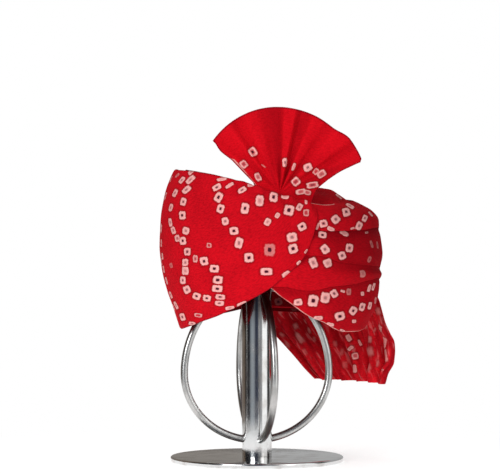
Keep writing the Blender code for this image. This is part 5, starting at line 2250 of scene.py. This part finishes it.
@dataclass(frozen=True)
class Stand:
    """Chrome post with four bent arms, on a round foot."""

    material: bpy.types.Material
    rod_material: bpy.types.Material

    def arm_route(self) -> list[tuple[float, float, float]]:
        """Centre line of the first arm, in metres."""
        start = math.asin(ARM_START_SHARE)
        turn = math.radians(ARM_TURN)
        route = []
        for step in range(ARM_STEPS + 1):
            swing = math.pi / 2.0 - start - (math.pi - 2.0 * start) * step / ARM_STEPS
            rise = ARM_RISE if swing > 0.0 else ARM_FALL
            reach = ARM_REACH * math.cos(swing)
            height = ARM_WAIST_HEIGHT + rise * math.sin(swing)
            route.append((reach * math.cos(turn) * MM, reach * math.sin(turn) * MM, height * MM))
        return route

    def build_arms(self, rule: ArmRule) -> bpy.types.Object:
        """The four arms, repeated round the post."""
        route = self.arm_route()
        mesh = bpy.data.meshes.new("stand_arms")
        mesh.from_pydata(route, [(step, step + 1) for step in range(ARM_STEPS)], [])
        arms = new_object("stand_arms", mesh)
        rule.use(arms, radius=ARM_RADIUS * MM, count=ARM_COUNT, sides=ARM_SIDES,
                 material=self.rod_material)
        arms.data.shade_smooth()
        return arms

    def build_post(self) -> bpy.types.Object:
        """The post, with its rounded top."""
        seat = BASE_THICKNESS + SEAT_GAP
        cap = POST_TOP - POST_CAP_ROUND
        profile = [(POST_RADIUS, height) for height in (seat, seat + POST_EDGE, cap - POST_EDGE)]
        for step in range(POST_CAP_STEPS + 1):
            turn = math.pi / 2.0 * step / POST_CAP_STEPS
            inset = POST_CAP_ROUND * (1.0 - math.cos(turn))
            profile.append((POST_RADIUS - inset, cap + POST_CAP_ROUND * math.sin(turn)))
        post = new_object("stand_post", turned_mesh("stand_post", profile))
        post.data.materials.append(self.material)
        return post

    def build_foot(self) -> bpy.types.Object:
        """The round foot, with its softened rim."""
        profile = []
        for step in range(FOOT_RIM_STEPS + 1):
            turn = math.pi * step / FOOT_RIM_STEPS - math.pi / 2.0
            rise = BASE_ROUND if turn < 0.0 else BASE_THICKNESS - BASE_ROUND
            reach = BASE_RADIUS - BASE_ROUND * (1.0 - math.cos(turn))
            profile.append((reach, rise + BASE_ROUND * math.sin(turn)))
        foot = new_object("foot", turned_mesh("foot", profile))
        foot.data.materials.append(self.material)
        return foot

    def build(self) -> None:
        for piece, node in (
            (self.build_post(), "stand_frame"), (self.build_arms(ArmRule()), "stand_frame"),
            (self.build_foot(), "stand_base"),
        ):
            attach(piece, ROOT)
            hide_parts(node)
            LOG.info("%s: %d faces", piece.name, len(piece.data.polygons))


FLOOR_RADIUS = 460.0


class EnvironmentStop(NamedTuple):
    """Colour of the surroundings that the chrome mirrors, by degrees from the camera."""

    azimuth: float
    red: float
    green: float
    blue: float


SURROUNDINGS = listed(
    EnvironmentStop,
    (-180, 0.26, 0.24, 0.22), (-112, 0.16, 0.12, 0.09), (-96, 0.02, 0.02, 0.02),
    (-58, 0.015, 0.015, 0.02), (-50, 0.22, 0.25, 0.28), (-32, 0.30, 0.33, 0.36),
    (-18, 0.20, 0.22, 0.25), (-11, 0.03, 0.035, 0.055), (7, 0.05, 0.06, 0.09),
    (12, 0.26, 0.27, 0.28), (38, 0.32, 0.32, 0.33), (43, 1.25, 1.24, 1.22), (82, 1.20, 1.20, 1.20),
    (88, 0.03, 0.03, 0.03), (106, 0.05, 0.05, 0.05), (118, 0.42, 0.42, 0.42),
)


class Lamp(NamedTuple):
    """A soft box: its place and its side in metres, and its power in watts."""

    name: str
    place: tuple[float, float, float]
    side: float
    power: float


LAMPS = (
    Lamp("key_front_left", (-1.6, -2.4, 1.0), 1.3, 37.0),
    Lamp("fill_front_right", (1.9, -2.2, 0.9), 1.2, 6.5),
    Lamp("top_soft", (-0.2, 0.2, 2.4), 1.6, 9.0),
)


@dataclass(frozen=True)
class Studio:
    """Plain white surroundings, soft lights and a pale floor."""

    WHITE = (1.0, 1.0, 1.0, 1.0)
    WARM_WHITE = (1.0, 0.99, 0.98, 1.0)
    PAPER = (0.93, 0.93, 0.93, 1.0)
    FRONT_REACH = (-0.3, 1.0)
    FLOOR_FADES = (0.12, 0.42)
    FLOOR_GLOW = 0.60

    fill: float = 0.16
    front_fill: float = 0.46
    aim: tuple[float, float, float] = (0.0, 0.0, 0.22)

    def build_world(self) -> None:
        """White to the camera, soft on the cloth, banded in the chrome."""
        world = bpy.data.worlds.new("studio")
        bpy.context.scene.world = world
        world.use_nodes = True
        world.node_tree.nodes.clear()
        graph = Graph(world.node_tree)
        direction = graph.add("ShaderNodeTexCoord").outputs["Generated"]
        parts = graph.parts(direction)
        towards_viewer = graph.times(parts[1], -1.0)
        azimuth = graph.math("ARCTAN2", parts[0], towards_viewer)
        place = graph.line(azimuth, 0.5 / math.pi, 0.5)
        bands = graph.add("ShaderNodeValToRGB", {0: place})
        stops = bands.color_ramp.elements
        while len(stops) < len(SURROUNDINGS):
            stops.new(1.0)
        for stop, row in zip(stops, SURROUNDINGS):
            stop.position = (row.azimuth + 180.0) / 360.0
            stop.color = (row.red, row.green, row.blue, 1.0)
        rays = graph.add("ShaderNodeLightPath").outputs
        ahead = graph.step(towards_viewer, *self.FRONT_REACH)
        fill = graph.line(ahead, self.front_fill, self.fill)
        soft, mirrored, white = (
            graph.add("ShaderNodeBackground", {"Color": colour, "Strength": strength}).outputs[0]
            for colour, strength in (
                (self.WARM_WHITE, fill), (bands.outputs[0], 1.0), (self.WHITE, 1.0)))
        lit = graph.add("ShaderNodeMixShader", {0: rays["Is Glossy Ray"], 1: soft, 2: mirrored})
        seen = graph.add("ShaderNodeMixShader", {
            0: rays["Is Camera Ray"], 1: lit.outputs[0], 2: white})
        graph.add("ShaderNodeOutputWorld", {"Surface": seen.outputs[0]})

    def build_lamps(self) -> None:
        """Soft boxes, aimed at the turban."""
        for row in LAMPS:
            light = bpy.data.lights.new(row.name, "AREA")
            light.shape = "SQUARE"
            light.size = row.side
            light.energy = row.power
            lamp = bpy.data.objects.new(row.name, light)
            bpy.context.scene.collection.objects.link(lamp)
            lamp.location = row.place
            towards = Vector(self.aim) - Vector(row.place)
            lamp.rotation_euler = towards.to_track_quat("-Z", "Y").to_euler()

    def build_floor(self) -> None:
        """Pale floor that fades into the white behind it."""
        mesh = bpy.data.meshes.new("floor")
        mesh.from_pydata(circle(FLOOR_RADIUS, 0.0), [], [tuple(range(TURNED_SEGMENTS))])
        floor = new_object("floor", mesh)
        material, graph, _ = new_material("white_floor")
        material.node_tree.nodes.clear()
        place = graph.add("ShaderNodeTexCoord").outputs["Object"]
        away = graph.add("ShaderNodeVectorMath", {0: place}, operation="LENGTH").outputs["Value"]
        far = graph.step(away, *self.FLOOR_FADES)
        paper = graph.add("ShaderNodeBsdfDiffuse", {"Color": self.PAPER})
        glow, soft = (
            graph.add("ShaderNodeEmission", {"Color": self.WHITE, "Strength": strength})
            for strength in (1.0, self.FLOOR_GLOW))
        near = graph.add("ShaderNodeAddShader", {0: paper.outputs[0], 1: soft.outputs[0]})
        blend = graph.add("ShaderNodeMixShader", {0: far, 1: near.outputs[0], 2: glow.outputs[0]})
        graph.add("ShaderNodeOutputMaterial", {"Surface": blend.outputs[0]})
        mesh.materials.append(material)

    def build(self) -> None:
        """Build the studio."""
        bpy.context.scene.view_settings.view_transform = "Standard"
        self.build_world()
        self.build_lamps()
        self.build_floor()


# Metres from the post's axis beyond which the photograph doesn't show a cloth
LEFT_HIDDEN_FROM = -0.030
FOLDS_HIDDEN_FROM = 0.012
CROWN_HIDDEN_FROM = 0.03
CROWN_HIDDEN_LEFT = 0.05


def hidden_left(place: np.ndarray) -> bool:
    """Whether a point of the left wrap lies where the photograph doesn't show it."""
    return place[1] > LEFT_HIDDEN_FROM


def hidden_behind(place: np.ndarray) -> bool:
    """Whether a point of a right fold lies round the back."""
    return place[1] > FOLDS_HIDDEN_FROM


def off_the_shoulder(place: np.ndarray) -> bool:
    """Whether a point of the crown lies off the part that shows from the front."""
    return place[0] < CROWN_HIDDEN_LEFT or place[1] > CROWN_HIDDEN_FROM


def anywhere(_place: np.ndarray) -> bool:
    """Dots may lie anywhere."""
    return True


class Turban:
    """The turban's cloth, piece by piece."""

    def __init__(self, view: PhotoView) -> None:
        """Make the form, the finishes and the rules that the pieces share."""
        self.view = view
        self.form = TurbanForm(FORM, view)
        stamp = DotStamp()
        weave = CottonWeave()
        self.red = DyedCotton("wrap_cotton").make(stamp, weave)
        # A lighter copy of the wrap's red: painted light on the fan
        self.fan_red = DyedCotton(
            "fan_cotton", bright=Colour(0.80, 0.0045, 0.0135), deep=Colour(0.56, 0.002, 0.008),
            edge_start=1.0, edge_width=2.6, edge_strength=0.9, bump=0.3).make(stamp, weave)
        # A much lighter copy of the red: painted light on the tail, which hangs in shade
        self.tail_red = DyedCotton(
            "tail_cotton", bright=Colour(0.92, 0.014, 0.026), deep=Colour(0.60, 0.004, 0.012),
            pale=Colour(1.0, 0.46, 0.43), edge_start=5.0, edge_width=13.0,
            edge_strength=0.85, edging=Colour(0.90, 0.25, 0.26), bump=0.3, blur=True,
            streaks=0.42).make(stamp, weave)
        self.ripple = RippleRule()

    def add(self, piece: ClothPiece, charts: Sequence[Dot], carry_on: Callable | None,
            pleats: PleatRule | None = None) -> None:
        """Shape, dot and build one cloth.

        Args:
            piece: the cloth.
            charts: its dots in the photograph.
            carry_on: where more dots may lie, or nothing.
            pleats: the pleats, on the fan.
        """
        piece.shape(self.ripple, pleats)
        dots = TiedDots(piece.grid, self.view)
        dots.chart(charts, piece.held in (Held.GATHERED, Held.HUNG))
        if carry_on:
            dots.lattice(carry_on, piece.seed)
        piece.build(dots)

    def build(self) -> None:
        """Build every cloth."""
        form, red = self.form, self.red
        crown = Crown(form)
        self.add(ClothPiece("inner_band", crown.band(), CROWN_WALL, Held.STRETCHED, ("crown_top",),
                            red, seed=3, ripple=0.3), (), anywhere)
        self.add(ClothPiece("crown_top", crown.top(), CROWN_WALL, Held.FOLDED, ("inner_band",),
                            red, seed=4, ripple=0.8), CROWN_DOTS, off_the_shoulder)
        self.add(ClothPiece("left_wrap", LeftWrap().grid(form), CLOTH, Held.STRETCHED, ("inner_band",),
                            red, seed=11, ripple=0.7), LEFT_DOTS, hidden_left)
        for seed, fold, chart in zip(FOLD_SEEDS, RIGHT_FOLDS, FOLD_DOTS):
            self.add(ClothPiece(fold.name, fold.grid(form), CLOTH, Held.FOLDED, ("inner_band",),
                                red, seed=seed, ripple=0.5), chart, hidden_behind)
        self.add(ClothPiece("fan", Fan(form).grid(), FAN_CLOTH, Held.GATHERED, ("left_wrap",),
                            self.fan_red, seed=31, ripple=1.6, ripple_scale=34.0),
                 FAN_DOTS, None, PleatRule())
        self.add(ClothPiece("tail", Tail(form).grid(), TAIL_CLOTH, Held.HUNG, ("right_wrap_low",),
                            self.tail_red, seed=41, ripple=1.6, ripple_scale=30.0), TAIL_DOTS, None)


def main() -> None:
    """Build the camera, the studio, the stand and the turban."""
    logging.basicConfig(level=logging.INFO, format="%(name)s %(message)s")
    view = PhotoView()
    view.place_camera()
    Studio().build()
    rods = Chrome(
        "rod_chrome", Colour(0.58, 0.58, 0.57), Colour(0.44, 0.44, 0.43), roughness=0.30, grain=0.01)
    Stand(Chrome().make(), rods.make()).build()
    Turban(view).build()


if __name__ == "__main__":
    main()
